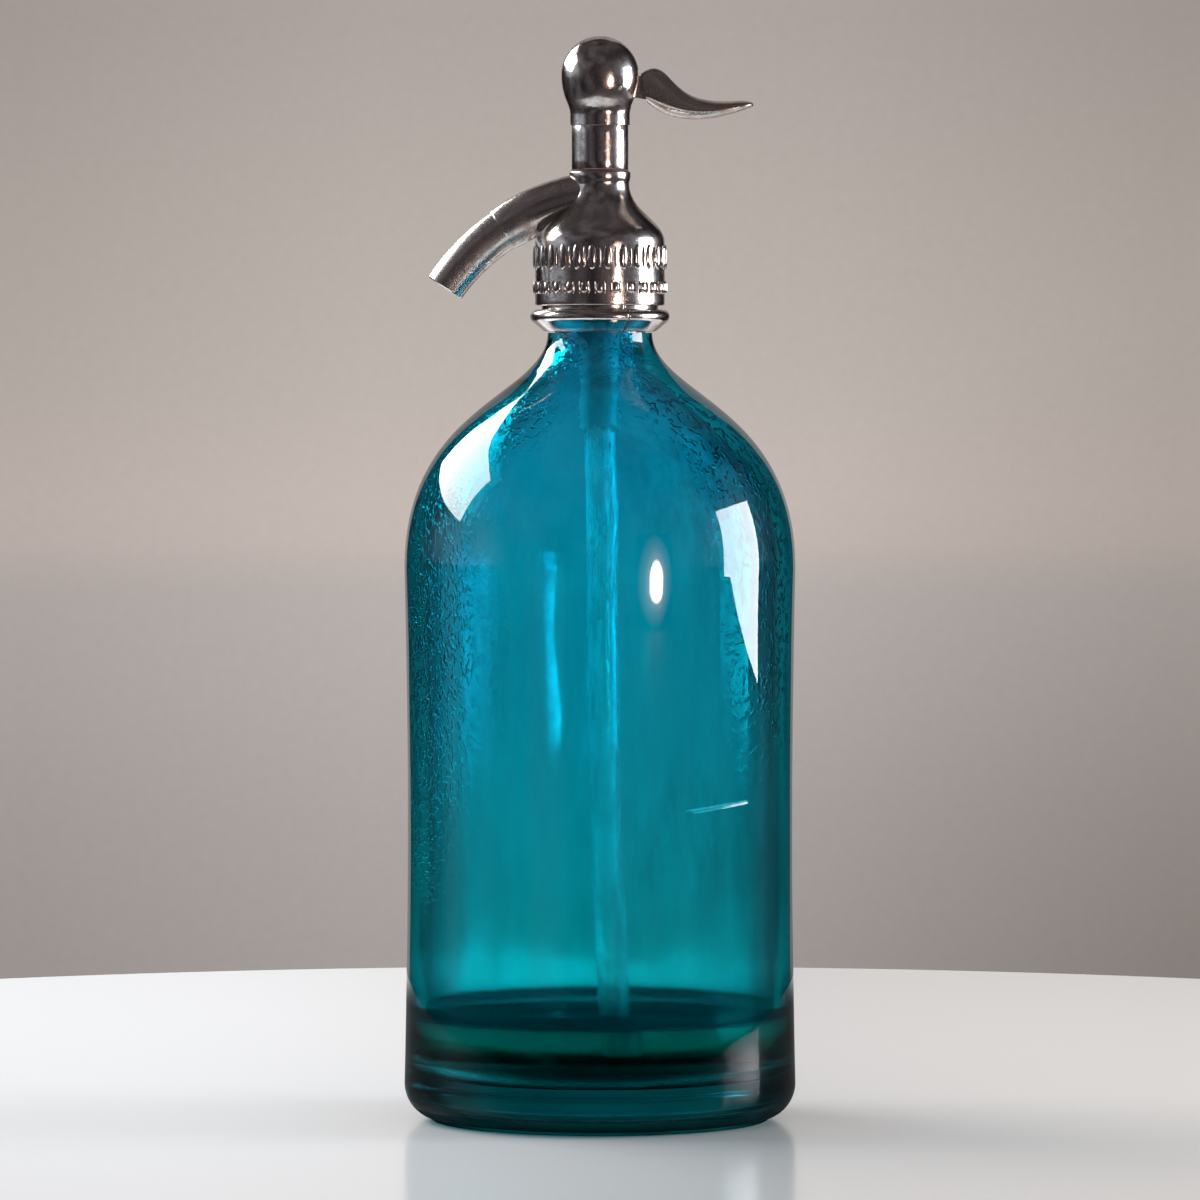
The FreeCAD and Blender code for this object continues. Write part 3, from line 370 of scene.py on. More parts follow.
def teal_glass():
    """Soda-lime glass, tinted in the mass and blown in a mould: clear and glossy, a little wavy.
    Inside it carries a dull film, and drops hang where it was filled, close or scattered."""
    material, tree = new_material("teal_soda_lime_glass")
    place = place_of(tree)
    height = add(tree, "ShaderNodeSeparateXYZ", {0: place}).outputs["Z"]
    film, mist, drops, tide_mark_and_shade, reflection_painted_out = (add(tree, "ShaderNodeAttribute", attribute_name=name).outputs["Fac"]
                                       for name in ("film", "mist", "drops", "tide_mark_and_shade", "reflection_painted_out"))
    close = drop_runs(tree, place, 2.8, between(tree, grain(tree, place, 2.4, detail=1.0), 0.4, 0.52))
    loose = drop_runs(tree, place, 3.6, between(tree, grain(tree, place, 2.6, detail=1.0), 0.47, 0.56))
    wet = arithmetic(tree, "ADD", arithmetic(tree, "MULTIPLY", close, mist),
                     arithmetic(tree, "MULTIPLY", loose, drops))
    # heights in millimetres
    beads = arithmetic(tree, "MULTIPLY", wet, 0.2)
    flow = add(tree, "ShaderNodeMapping", {"Vector": place, "Scale": (1.0, 1.0, 0.25)}).outputs[0]
    ripple = arithmetic(tree, "MULTIPLY", grain(tree, flow, 16.0, detail=1.0), 0.26)
    relief = arithmetic(tree, "ADD", arithmetic(tree, "ADD", ripple, beads), scratch(tree, place))
    bump = add(tree, "ShaderNodeBump", {"Strength": 1.0, "Distance": MM, "Height": relief})
    up = add(tree, "ShaderNodeMapRange", {"Value": height, "From Min": 0.0, "From Max": 0.25}).outputs[0]
    tint = ramp(tree, up, (0.05, "00F0DE"), (0.12, "00F4F8"), (0.25, "00F3FF"), (0.45, "00EBFD"), (0.6, "00E7FB"),
                (0.8, "00E3FF"), (0.9, "00D6F4"))
    cloud = between(tree, grain(tree, flow, 14.0, detail=6.0, roughness=0.66), 0.36, 0.66, 0.0, 1.0)
    stain = ramp(tree, arithmetic(tree, "MULTIPLY", film, cloud), (0.0, "FFFFFF"), (1.0, "748896"))
    # painted shade: the glass colour is darkened to grey-blue where the drops lie
    painted_shade = ramp(tree, wet, (0.0, "FFFFFF"), (1.0, "93AAB6"))
    # a tide mark at the waterline, made darker as painted shade of the waterline's dark band
    ring = ramp(tree, tide_mark_and_shade, (0.0, "FFFFFF"), (1.0, "4C606C"))
    facing = add(tree, "ShaderNodeLayerWeight", {"Blend": 0.5}).outputs["Facing"]
    # painted shade: the glass colour darkens where the surface turns away, towards its edges
    painted_edge_shade = ramp(tree, facing, (0.35, "FFFFFF"), (0.75, "5E7882"))
    colour = tint
    for layer in (stain, painted_shade, ring, painted_edge_shade):
        colour = add(tree, "ShaderNodeMix", {"Factor": 1.0, 6: colour, 7: layer}, data_type="RGBA",
                     blend_type="MULTIPLY").outputs["Result"]
    haze = arithmetic(tree, "MULTIPLY", between(tree, film, 0.0, 0.2), between(tree, height, 0.1, 0.15, 0.1, 0.0))
    haze = arithmetic(tree, "MULTIPLY", haze, reflection_painted_out)
    ground = between(tree, height, 3.2 * MM, 5.0 * MM, 0.5, 0.0)
    roughness = arithmetic(tree, "ADD", haze, ground)
    glass = add(tree, "ShaderNodeBsdfPrincipled", {
        "Base Color": colour, "Roughness": roughness, "Normal": bump.outputs[0],
        # painted-out reflection: the Specular Tint goes to a dark teal where the reflection is painted out
        "Specular Tint": ramp(tree, reflection_painted_out, (0.0, "FFFFFF"), (1.0, "00343A")),
        "Transmission Weight": 1.0, "IOR": 1.5})
    # painted-out reflection: low on the foot's sides, where the reflection is painted out, the glass shows
    # refraction only
    mirrorless = add(tree, "ShaderNodeBsdfRefraction", {
        "Color": colour, "Roughness": roughness, "Normal": bump.outputs[0], "IOR": 1.5})
    at_side = arithmetic(tree, "MULTIPLY", reflection_painted_out, between(tree, facing, 0.2, 0.5, 0.0, 0.85))
    at_foot = arithmetic(tree, "MULTIPLY", at_side, between(tree, height, 36 * MM, 46 * MM, 1.0, 0.0))
    glass = add(tree, "ShaderNodeMixShader", {0: at_foot, 1: glass.outputs[0], 2: mirrorless.outputs[0]})
    body = add(tree, "ShaderNodeVolumeAbsorption", {"Color": (0.0, 0.94, 0.952, 1.0), "Density": 330.0})
    surface = let_light_through(tree, glass.outputs[0], "94C2CA")
    add(tree, "ShaderNodeOutputMaterial", {"Surface": surface, "Volume": body.outputs[0]})
    return material


def scratch(tree, place):
    """One deep scratch across the front, as a height in millimetres."""
    start, end = Vector((0.023, -0.049, 0.089)), Vector((0.041, -0.035, 0.0915))
    along = (end - start).normalized()
    from_start = add(tree, "ShaderNodeVectorMath", {0: place, 1: start}, operation="SUBTRACT").outputs[0]
    run = add(tree, "ShaderNodeVectorMath", {0: from_start, 1: along}, operation="DOT_PRODUCT").outputs["Value"]
    above = add(tree, "ShaderNodeVectorMath", {0: from_start, 1: Z - along * along.z}, operation="DOT_PRODUCT")
    off = arithmetic(tree, "ABSOLUTE", above.outputs["Value"], 0.0)
    front = between(tree, add(tree, "ShaderNodeSeparateXYZ", {0: place}).outputs["Y"], -0.03, -0.028, 1.0, 0.0)
    deep = arithmetic(tree, "MULTIPLY", between(tree, off, 0.0, 0.5 * MM, -0.14, 0.0), front)
    reach = arithmetic(tree, "MULTIPLY", between(tree, run, 0.0, 0.006), between(tree, run, 0.021, 0.023, 1.0, 0.0))
    return arithmetic(tree, "MULTIPLY", deep, reach)


def drop_runs(tree, place, size, patches):
    """Drops run together into short curled worms, kept to some patches."""
    field = grain(tree, place, size, detail=2.0, roughness=0.5)
    off = arithmetic(tree, "ABSOLUTE", arithmetic(tree, "SUBTRACT", field, 0.5), 0.0)
    return arithmetic(tree, "MULTIPLY", between(tree, off, 0.0, 0.09, 1.0, 0.0), patches)


def clear_glass():
    """Drawn soda-lime tube, dulled by runs of lime that thin out towards the water."""
    material, tree = new_material("limed_soda_lime_tube")
    place = place_of(tree)
    height = add(tree, "ShaderNodeSeparateXYZ", {0: place}).outputs["Z"]
    flow = add(tree, "ShaderNodeMapping", {"Vector": place, "Scale": (1.0, 1.0, 0.16)}).outputs[0]
    film = grain(tree, flow, 5.0)
    runs = between(tree, grain(tree, flow, 3.6, detail=4.0, roughness=0.6), 0.38, 0.62)
    limed = arithmetic(tree, "MULTIPLY", runs, between(tree, height, 0.135, 0.17, 0.3, 1.0))
    bump = add(tree, "ShaderNodeBump", {"Strength": 1.0, "Distance": MM,
                                        "Height": arithmetic(tree, "MULTIPLY", film, 0.7)})
    glass = add(tree, "ShaderNodeBsdfPrincipled", {
        "Base Color": srgb("ECF6F4"), "Roughness": between(tree, film, 0.45, 0.65, 0.02, 0.25),
        "Normal": bump.outputs[0], "Transmission Weight": between(tree, limed, 0.0, 1.0, 0.92, 0.1), "IOR": 1.5})
    surface = let_light_through(tree, glass.outputs[0], "E8F6F4")
    add(tree, "ShaderNodeOutputMaterial", {"Surface": surface})
    return material


def clouded(name, colour, roughness):
    """A soft clear plastic, clouded with age."""
    material, tree = new_material(name)
    place = place_of(tree)
    cloud = grain(tree, place, 2.5)
    bump = add(tree, "ShaderNodeBump", {"Strength": 1.0, "Distance": MM,
                                        "Height": arithmetic(tree, "MULTIPLY", cloud, 0.2)})
    plastic = add(tree, "ShaderNodeBsdfPrincipled", {
        "Base Color": srgb(colour), "Roughness": roughness, "Normal": bump.outputs[0],
        "Transmission Weight": 0.6, "IOR": 1.45})
    surface = let_light_through(tree, plastic.outputs[0], "C0C8C4")
    add(tree, "ShaderNodeOutputMaterial", {"Surface": surface})
    return material


def water():
    """Water gone green from standing in old glass, with a thin grey skin."""
    material, tree = new_material("stale_water")
    liquid = add(tree, "ShaderNodeBsdfPrincipled", {
        "Base Color": srgb("FFFFFF"), "Roughness": 0.0, "Transmission Weight": 1.0, "IOR": 1.333})
    height = add(tree, "ShaderNodeSeparateXYZ", {0: place_of(tree)}).outputs["Z"]
    skin = add(tree, "ShaderNodeBsdfDiffuse", {"Color": srgb("163840")})
    top = between(tree, height, (WATER_TOP - 0.4) * MM, (WATER_TOP - 0.1) * MM, 0.0, 0.6)
    skinned = add(tree, "ShaderNodeMixShader", {0: top, 1: liquid.outputs[0], 2: skin.outputs[0]}).outputs[0]
    body = add(tree, "ShaderNodeVolumeAbsorption", {"Color": (0.5, 0.955, 0.952, 1.0), "Density": 500.0})
    surface = let_light_through(tree, skinned, "C0D8D0")
    add(tree, "ShaderNodeOutputMaterial", {"Surface": surface, "Volume": body.outputs[0]})
    return material


def worn_nickel(name, bright, dull, roughness, unevenness):
    """Nickel-plated brass casting, buffed bright and then dulled by years of hands: an uneven
    mirror with pits, hairline scratches and brownish tarnish."""
    material, tree = new_material(name)
    place = place_of(tree)
    tarnish = between(tree, grain(tree, place, 6.0, detail=6.0, roughness=0.7), 0.40, 0.68)
    pits = between(tree, grain(tree, place, 0.7, detail=3.0), 0.62, 0.72)
    drawn = add(tree, "ShaderNodeMapping", {"Vector": place, "Scale": (1.0, 1.0, 0.1),
                                            "Rotation": (0.5, 0.3, 0.0)}).outputs[0]
    scratches = between(tree, grain(tree, drawn, 0.3, detail=2.0), 0.55, 0.75)
    colour = ramp(tree, tarnish, (0.0, bright), (1.0, dull))
    out = add(tree, "ShaderNodeSeparateXYZ", {0: place}).outputs["X"]
    handled = between(tree, out, -0.024, -0.014, 0.1, 0.0)
    worn = arithmetic(tree, "ADD", arithmetic(tree, "MULTIPLY", tarnish, 0.12),
                      arithmetic(tree, "ADD", arithmetic(tree, "MULTIPLY", scratches, 0.08), handled))
    # heights in millimetres
    casting = arithmetic(tree, "MULTIPLY", grain(tree, place, 2.4, detail=2.0), unevenness)
    dents = arithmetic(tree, "MULTIPLY", pits, -0.12 * unevenness)
    bump = add(tree, "ShaderNodeBump", {"Strength": 1.0, "Distance": MM,
                                        "Height": arithmetic(tree, "ADD", casting, dents)})
    metal = add(tree, "ShaderNodeBsdfPrincipled", {
        "Base Color": colour, "Metallic": 1.0, "Roughness": arithmetic(tree, "ADD", worn, roughness),
        "Normal": bump.outputs[0]})
    add(tree, "ShaderNodeOutputMaterial", {"Surface": metal.outputs[0]})
    return material


def plain_metal(name, bright, dark, roughness):
    """Turned or drawn metal: fine lathe lines and a little staining."""
    material, tree = new_material(name)
    place = place_of(tree)
    lines = add(tree, "ShaderNodeMapping", {"Vector": place, "Scale": (0.05, 0.05, 1.0)}).outputs[0]
    turning = grain(tree, lines, 0.3, detail=2.0)
    stain = between(tree, grain(tree, place, 3.0), 0.4, 0.7)
    bump = add(tree, "ShaderNodeBump", {"Strength": 0.2, "Distance": 0.05 * MM, "Height": turning})
    metal = add(tree, "ShaderNodeBsdfPrincipled", {
        "Base Color": ramp(tree, stain, (0.0, bright), (1.0, dark)), "Metallic": 1.0,
        "Roughness": between(tree, turning, 0.3, 0.7, roughness, roughness + 0.12),
        "Normal": bump.outputs[0]})
    add(tree, "ShaderNodeOutputMaterial", {"Surface": metal.outputs[0]})
    return material


def moulded(name, light, dark, roughness, grain_size):
    """Moulded or pressed soft part: an even skin with a faint mottle."""
    material, tree = new_material(name)
    place = place_of(tree)
    mottle = grain(tree, place, grain_size)
    bump = add(tree, "ShaderNodeBump", {"Strength": 0.3, "Distance": 0.05 * MM,
                                        "Height": grain(tree, place, grain_size / 4)})
    skin = add(tree, "ShaderNodeBsdfPrincipled", {
        "Base Color": ramp(tree, mottle, (0.3, light), (0.7, dark)),
        "Roughness": between(tree, mottle, 0.3, 0.7, roughness, roughness + 0.15),
        "IOR": 1.5, "Normal": bump.outputs[0]})
    add(tree, "ShaderNodeOutputMaterial", {"Surface": skin.outputs[0]})
    return material


TEAL_GLASS = teal_glass()
CLEAR_GLASS = clear_glass()
WATER = water()
NICKEL = worn_nickel("worn_nickel_plate", "D8D2CE", "AC9E96", 0.12, 0.045)
DULL_NICKEL = worn_nickel("thumb_dulled_nickel", "C8BDB4", "9C8E84", 0.26, 0.012)
PIN_STEEL = plain_metal("riveted_pin_steel", "B4B0AA", "8A847C", 0.22)
SPRING_STEEL = plain_metal("drawn_spring_steel", "8F9092", "5E5F62", 0.3)
BRASS = plain_metal("turned_brass", "D8B26A", "8C6A34", 0.24)
RUBBER = moulded("moulded_nitrile_rubber", "1C1C1B", "2A2927", 0.55, 1.5)
FIBRE = moulded("vulcanised_fibre", "5A2A1C", "3C1A12", 0.6, 0.8)
HOLDER = clouded("clouded_clear_nylon", "E4EEEA", 0.25)
SLEEVE = clouded("clouded_clear_vinyl", "D4E0DC", 0.3)


# ---- glass bottle and what is in it -----------------------------------------------------------

def glass_bottle():
    """The blown bottle. The inner side is wavier than the outer one."""
    heel, step, foot = 10.0, 1.2, 47.8
    heel_start = BOTTLE_RADIUS - heel + math.sqrt(heel ** 2 - (heel - step) ** 2)
    half_belly = (BELLY_TOP - heel) / 2
    waist, slight = 0.9, 0.42
    inner_wall = BOTTLE_RADIUS - WALL
    half_inside = (BELLY_TOP - FLOOR - 18) / 2
    foot_rounding, land, punt, lip = 1.0, 3.8, 3.0, 0.3
    rim = foot - land
    outside = trace((0, punt), [
        right(rim, 0, (rim ** 2 + punt ** 2) / (2 * punt)),
        line(foot - foot_rounding, 0),
        left(foot, foot_rounding, foot_rounding),
        line(heel_start, step + lip),
        left(BOTTLE_RADIUS, heel, heel),
        right(BOTTLE_RADIUS, BELLY_TOP, (half_belly ** 2 + waist ** 2) / (2 * waist)),
        swell(14.7, SHOULDER_TOP, 46.5, 17.4),
        line(12.8, SHOULDER_TOP),
        line(12.8, BEAD_BASE),
        line(14.6, BEAD_BASE),
        line(14.6, MOUTH - 1.5),
        left(13.1, MOUTH, 1.5),
    ])
    inside = trace((13.1, MOUTH), [
        line(9.6, MOUTH),
        line(9.6, SHOULDER_TOP - 2),
        swell(inner_wall, BELLY_TOP - 2, 18.2, 47.2),
        left(inner_wall, FLOOR + 16, (half_inside ** 2 + slight ** 2) / (2 * slight)),
        right(inner_wall - 16, FLOOR, 16),
        line(0, FLOOR),
    ])
    shape = turn(outside + inside[1:], steps=256)
    rings = [1] + [256] * (len(outside) + len(inside) - 3) + [1]
    layers = {name: shape.verts.layers.float.new(name) for name in COVERED}
    reflection_painted_out = shape.verts.layers.float.new("reflection_painted_out")
    shape.verts.ensure_lookup_table()
    index = 0
    for ring, size in enumerate(rings):
        is_inner = ring >= len(outside)
        for vertex in shape.verts[index:index + size]:
            if is_inner:
                for name, layer in layers.items():
                    vertex[layer] = max(cover(vertex.co, COVERED[name]), 0.26 if name == "film" else 0.0)
                sway = 3.0 * noise.noise(Vector((0.0, 0.0, vertex.co.z / 13)))
                # inside, the reflection is painted out everywhere except a narrow upright stripe at the back
                bare = math.exp(-((vertex.co.x + 11.5 + sway) / 2.0) ** 2) if vertex.co.y > 0 else 0.0
                vertex[reflection_painted_out] = 1.0 - bare
            else:
                # outside, the reflection is painted out low down (except one patch at the front right), in a patch
                # by the neck and in one at the back left
                low = min(1.0, max(0.0, (WATER_TOP + 15 - vertex.co.z) / 10))
                low *= 1 - cover(vertex.co, (((41, -37, 20), 5, 5),))
                vertex[reflection_painted_out] = max(low, min(1.0, 2 * cover(vertex.co, (((-18, -27, 207), 8, 5),))),
                                     cover(vertex.co, (((-43, 34, 120), 20, 60),)))
                # painted shade: the outer glass is darkened at the waterline on its left and right edges
                vertex[layers["tide_mark_and_shade"]] = cover(vertex.co, (((-54, -4, 34), 10, 4.4), ((54, -4, 34), 10, 4.4)))
            vertex.co = blown(vertex.co, is_inner)
        index += size
    return make("glass_bottle_body", shape, TEAL_GLASS, "siphon", ["glass_bottle"])


# what covers the inner side: patches, each with its place and how far it reaches across and up
COVERED = {
    "mist": (((-46, -20, 134), 14, 30), ((-46, 10, 185), 14, 18), ((0, -16, 217), 16, 5)),
    "drops": (((36, -28, 188), 11, 15), ((20, -26, 204), 8, 7), ((-22, -30, 200), 7, 8), ((44, -24, 150), 8, 26)),
    "film": (((32, -34, 190), 24, 26), ((46, -10, 110), 20, 60), ((-48, -10, 120), 14, 60), ((22, -46, 84), 10, 14),
             ((0, -16, 214), 18, 10)),
    # a tide mark round the waterline, darkened further as painted shade
    "tide_mark_and_shade": (((0, 50, 31.2), 60, 1.6), ((0, -50, 34.6), 60, 3.8)),
}


def cover(place, patches):
    """How thickly a set of patches covers a place, from 0 to 1: drops, film, the tide mark with its painted shade,
    or painted-out reflection.
    """
    total = 0.0
    for centre, across, up in patches:
        away = place - Vector(centre)
        total += math.exp(-(away.x ** 2 + away.y ** 2) / (2 * across ** 2) - away.z ** 2 / (2 * up ** 2))
    return min(1.0, total)


def blown(place, is_inner):
    """Where a point of the glass ends up in blown glass, a little inside its true surface."""
    radius = math.hypot(place.x, place.y)
    if radius < 20 or place.z < WATER_TOP + 4 or place.z > SHOULDER_TOP - 8:
        return place
    rise = min(1.0, max(0.0, (place.z - WATER_TOP - 16) / 24))
    fade = rise * rise * (3 - 2 * rise)
    depth = 0.9 if is_inner else 0.12
    flow = Vector((place.x / 24, place.y / 24, place.z / 80)) if is_inner else place / 38
    wave = 0.5 * noise.noise(flow) if is_inner else 0.5 + 0.5 * noise.noise(flow)
    offset = fade * depth * wave
    shift = Vector((place.x, place.y, 0)) * (offset / radius)
    return place + shift if is_inner else place - shift


def water_in_bottle():
    """What is left in the bottle: it wets the floor and climbs a little up the glass."""
    overlap, climb = 0.12, 3.6
    wall = BOTTLE_RADIUS - WALL + overlap
    floor = FLOOR - overlap
    corner = 16 + overlap
    outline = trace((0, floor), [
        line(wall - corner, floor),
        left(wall, floor + corner, corner),
        line(wall, WATER_TOP + climb),
        right(wall - climb, WATER_TOP, climb),
        line(0, WATER_TOP),
    ])
    return make("water_left_inside", turn(outline, steps=256), WATER, "siphon")


def tube_axis(along):
    """The dip tube hangs straight from its holder, then leans gently to one side."""
    bend = TUBE_HIGH.z - 34.0
    lean = 4.5
    fall = bend - 16.0
    if along >= bend:
        return Z * along, X, Y
    radius = (fall ** 2 + lean ** 2) / (2 * lean)
    angle = (bend - along) / radius
    centre = Vector((radius * (1 - math.cos(angle)), 0, bend - radius * math.sin(angle)))
    across = Vector((math.cos(angle), 0, math.sin(angle)))
    return centre, across, Y


def dip_tube():
    outer, bore, rounding = 4.5, 2.9, 0.5
    low, high = 16.2, TUBE_HIGH.z
    outline = trace((bore + rounding, low), [
        line(outer - rounding, low),
        left(outer, low + rounding, rounding),
        line(outer, high),
        line(bore, high),
        line(bore, low + rounding),
        left(bore + rounding, low, rounding),
    ], spacing=4.0)[:-1]
    shape = turn(outline, tube_axis, steps=48, loop=True)
    return make("dip_tube_glass", shape, CLEAR_GLASS, "siphon", ["dip_tube"])


def tube_sleeve():
    """The rubber sleeve that holds the dip tube, its lower end torn."""
    outer, bore = 5.58, 4.58
    outline = trace((bore, SLEEVE_LOW.z), [
        line(outer, SLEEVE_LOW.z), line(outer, SLEEVE_HIGH.z), line(bore, SLEEVE_HIGH.z),
        line(bore, SLEEVE_LOW.z)], spacing=1.0)[:-1]
    shape = turn(outline, steps=64, loop=True)
    for vertex in shape.verts:
        tear = 0.5 + 0.5 * noise.noise(Vector((vertex.co.x, vertex.co.y, 0)) * 0.55)
        weight = 1 - (vertex.co.z - SLEEVE_LOW.z) / (SLEEVE_HIGH.z - SLEEVE_LOW.z)
        vertex.co.z += 5.0 * tear * weight ** 2
    return make("tube_sleeve_torn", shape, SLEEVE, "siphon", ["tube_sleeve"])


# ---- head -------------------------------------------------------------------------------------

def ring_half(name, node, turn_angle):
    """Half of the split collar that grips the glass, with its rolled rim."""
    base, top = RING_LOW.z, RING_HIGH.z
    roll, radius = 1.9, RING_HIGH.x
    rim = SKIRT_BASE - 1.1
    roll_z = rim - roll
    cone_z = base + 2.9
    roll_x = 19.65 - roll
    start = roll_x + math.sqrt(roll ** 2 - (roll_z - cone_z) ** 2)
    del radius
    outline = trace((13.0, base), [
        line(15.6, base),
        line(start, cone_z),
        left(19.65, roll_z, roll),
        left(roll_x, rim, roll),
        line(16.4, rim),
        line(16.4, top),
        line(14.8, top),
        line(14.8, BEAD_BASE),
        line(13.0, BEAD_BASE),
        line(13.0, base),
    ], spacing=0.6)[:-1]
    gap = 0.5
    shape = turn(outline, steps=110, loop=True, first=turn_angle - 90 + gap, last=turn_angle + 90 - gap)
    piece = make(name, shape, NICKEL, "siphon", [node])
    return soften(piece, 0.2)


def along_spout(along):
    """The spout's centre line: along is the angle on its bend, in degrees."""
    angle = math.radians(along)
    outwards = Vector((-math.sin(angle), 0, math.cos(angle)))
    return Vector((BEND_X, 0, BEND_Z)) + SPOUT_BEND * outwards, outwards, Y


def bend_angle(length):
    """Degrees on the spout's bend for a length along it."""
    return math.degrees(length / SPOUT_BEND)


def head_body():
    """The cast body: skirt, bell, column and collar, with the socket for the spout."""
    edge, bore = 0.5, 5.4
    bell = trace((16.6, SKIRT_BASE), [
        line(SKIRT_RADIUS - edge, SKIRT_BASE),
        left(SKIRT_RADIUS, SKIRT_BASE + edge, edge),
        line(SKIRT_RADIUS, SKIRT_TOP),
        swell(COLUMN_RADIUS, COLUMN_BASE, 6.7, 8.1),
        line(COLLAR_RADIUS, COLLAR_BASE),
        line(COLLAR_RADIUS, HEAD_TOP - edge),
        left(COLLAR_RADIUS - edge, HEAD_TOP, edge),
        line(6.85, HEAD_TOP),
        line(6.85, BARREL_LOW.z),
        line(bore, BARREL_LOW.z),
        line(bore, 246.0),
        line(4.65, 246.0),
        line(4.65, 242.6),
        line(6.35, 242.6),
        line(6.35, 241.2),
        line(14.6, 241.2),
        line(14.6, 236.2),
        line(16.6, 236.2),
        line(16.6, SKIRT_BASE),
    ], spacing=0.8)[:-1]
    step = bend_angle(0.5)
    socket = [(SOCKET_RADIUS * k / 4, SOCKET_START) for k in range(5)]
    slim = 0.46
    for k in range(1, 40):
        angle = SOCKET_START + (SOCKET_END - step - SOCKET_START) * k / 40
        late = max(0.0, (angle - SOCKET_SEAT) / (SOCKET_END - SOCKET_SEAT))
        socket.append((SOCKET_RADIUS - slim * late ** 1.5, angle))
    end = SOCKET_RADIUS - slim
    socket += [(end, SOCKET_END - step), (end - 0.02, SOCKET_END - step / 6),
               (end - 0.06, SOCKET_END), (6.2, SOCKET_END), (6.2, SOCKET_SEAT), (0, SOCKET_SEAT)]
    branch = turn(socket, along_spout, steps=96)
    clear = bore + 0.2
    for vertex in branch.verts:
        if math.hypot(vertex.co.x, vertex.co.y) < clear:
            vertex.co.x = -math.sqrt(clear ** 2 - vertex.co.y ** 2)
    shape = merge(turn(bell, loop=True), branch)
    return make("cast_head", shape, NICKEL, "siphon", ["head_body"])


def spout_tube():
    """The bent tube: it tapers to its mouth, whose rim is rounded."""
    root, mouth, bore, rounding = 6.15, 5.65, 4.4, 0.5
    end = SPOUT_END
    near = end - bend_angle(rounding)
    outside = [(root + (mouth - root) * k / 60, SOCKET_SEAT + (near - SOCKET_SEAT) * k / 60) for k in range(61)]
    lip = arc_points(Vector((mouth, 0)), Vector((mouth - rounding, rounding)), rounding, 1, 6)
    outside += [(p.x, near + bend_angle(p.y)) for p in lip]
    inside = [(bore + 0.3, end), (bore, end - bend_angle(0.4))]
    inside += [(bore, near + (SOCKET_SEAT - near) * k / 60) for k in range(1, 61)]
    shape = turn(outside + inside, along_spout, steps=128, loop=True)
    return make("bent_spout", shape, NICKEL, "siphon", ["spout_tube"])


def spring_barrel():
    outline = trace((5.2, BARREL_LOW.z), [
        line(6.8, BARREL_LOW.z),
        line(6.8, BARREL_BASE),
        line(BARREL_RADIUS, BARREL_BASE),
        line(BARREL_RADIUS, BARREL_TOP),
        line(7.0, BARREL_TOP),
        line(7.0, BARREL_HIGH.z),
        line(5.2, BARREL_HIGH.z),
        line(5.2, BARREL_LOW.z),
    ], spacing=3.0)[:-1]
    shape = turn(outline, steps=128, loop=True)
    piece = make("spring_barrel_turned", shape, NICKEL, "siphon", ["spring_barrel"])
    return soften(piece, 0.18)


def dome_cap():
    """The ball-shaped cap, screwed on the barrel, with a slot for the lever."""
    collar = DOME_LOW.z + 2.9
    inner = DOME_RADIUS - 1.8
    outline = trace((7.05, DOME_LOW.z), [
        line(8.4, DOME_LOW.z),
        line(8.4, collar),
        swell(DOME_RADIUS, DOME_Z, 2.8, 6.4),
        left(0, DOME_Z + DOME_RADIUS, DOME_RADIUS),
    ], spacing=0.5)
    outline += trace((0, DOME_Z + inner), [
        right(inner, DOME_Z, inner),
        line(7.7, 285.0),
        line(7.05, 285.0),
        line(7.05, DOME_LOW.z),
    ], spacing=1.0)[:-1]
    shape = turn(outline, loop=True)
    piece = make("ball_cap", shape, NICKEL, "siphon", ["dome_cap"])
    half_slot = 2.3
    slot = block((0.5, -half_slot, DOME_Z - 9.0), (DOME_RADIUS + 1, half_slot, DOME_Z + 1.4))
    cut(piece, slot)
    return piece


def lever_pin():
    """The pin's ends are riveted over, so they are slightly domed."""
    half = (PIN_HIGH.y - PIN_LOW.y) / 2
    radius = (PIN_HIGH.x - PIN_LOW.x) / 2
    axis = lambda along: (Vector((PIN_X, along, PIN_Z)), X, Z)
    outline = [(0, -half), (0.6 * radius, 0.12 - half), (radius, 0.4 - half),
               (radius, half - 0.4), (0.6 * radius, half - 0.12), (0, half)]
    return make("riveted_pin", turn(outline, axis, steps=32), PIN_STEEL, "siphon", ["lever_pin"])


# ---- lever ------------------------------------------------------------------------------------

def lever_sections(count=48, around=56):
    """The blade: sections strung between its upper and lower edge, widest at a ridge low on each
    flank."""
    pin = Vector((PIN_X, PIN_Z))
    upper = [pin + Vector(p) for p in ((6.0, 3.75), (17.1, 11.9), (11.3, -12.7), (33.9, -0.8), (37.5, -4.6))]
    lower = [pin + Vector(p) for p in ((7.7, -4.25), (17.9, -13.2), (37.5, -5.4))]
    root_ridge, ridge_rise = -0.62, 0.36
    sections = []
    for k in range(count + 1):
        along = math.sin(math.pi / 2 * k / count)
        top, bottom = bezier(upper, along), bezier(lower, along)
        middle, half = (top + bottom) / 2, (top - bottom) / 2
        width = (8.4 + (14.0 - 8.4) * along) / 2 * math.sqrt(1 - 0.98 * along ** 6)
        ridge = root_ridge + ridge_rise * min(1.0, 1.6 * along)
        section = []
        for a in (2 * math.pi * i / around for i in range(around)):
            side = math.cos(a)
            rise = max(1 - side * side, 0.0)
            lift = ridge + (1 - ridge) * rise ** 0.5 if a <= math.pi else ridge - (1 + ridge) * rise ** 0.6
            place = middle + half * lift
            section.append(Vector((place.x, side * width, place.y)))
        sections.append(section)
    return sections


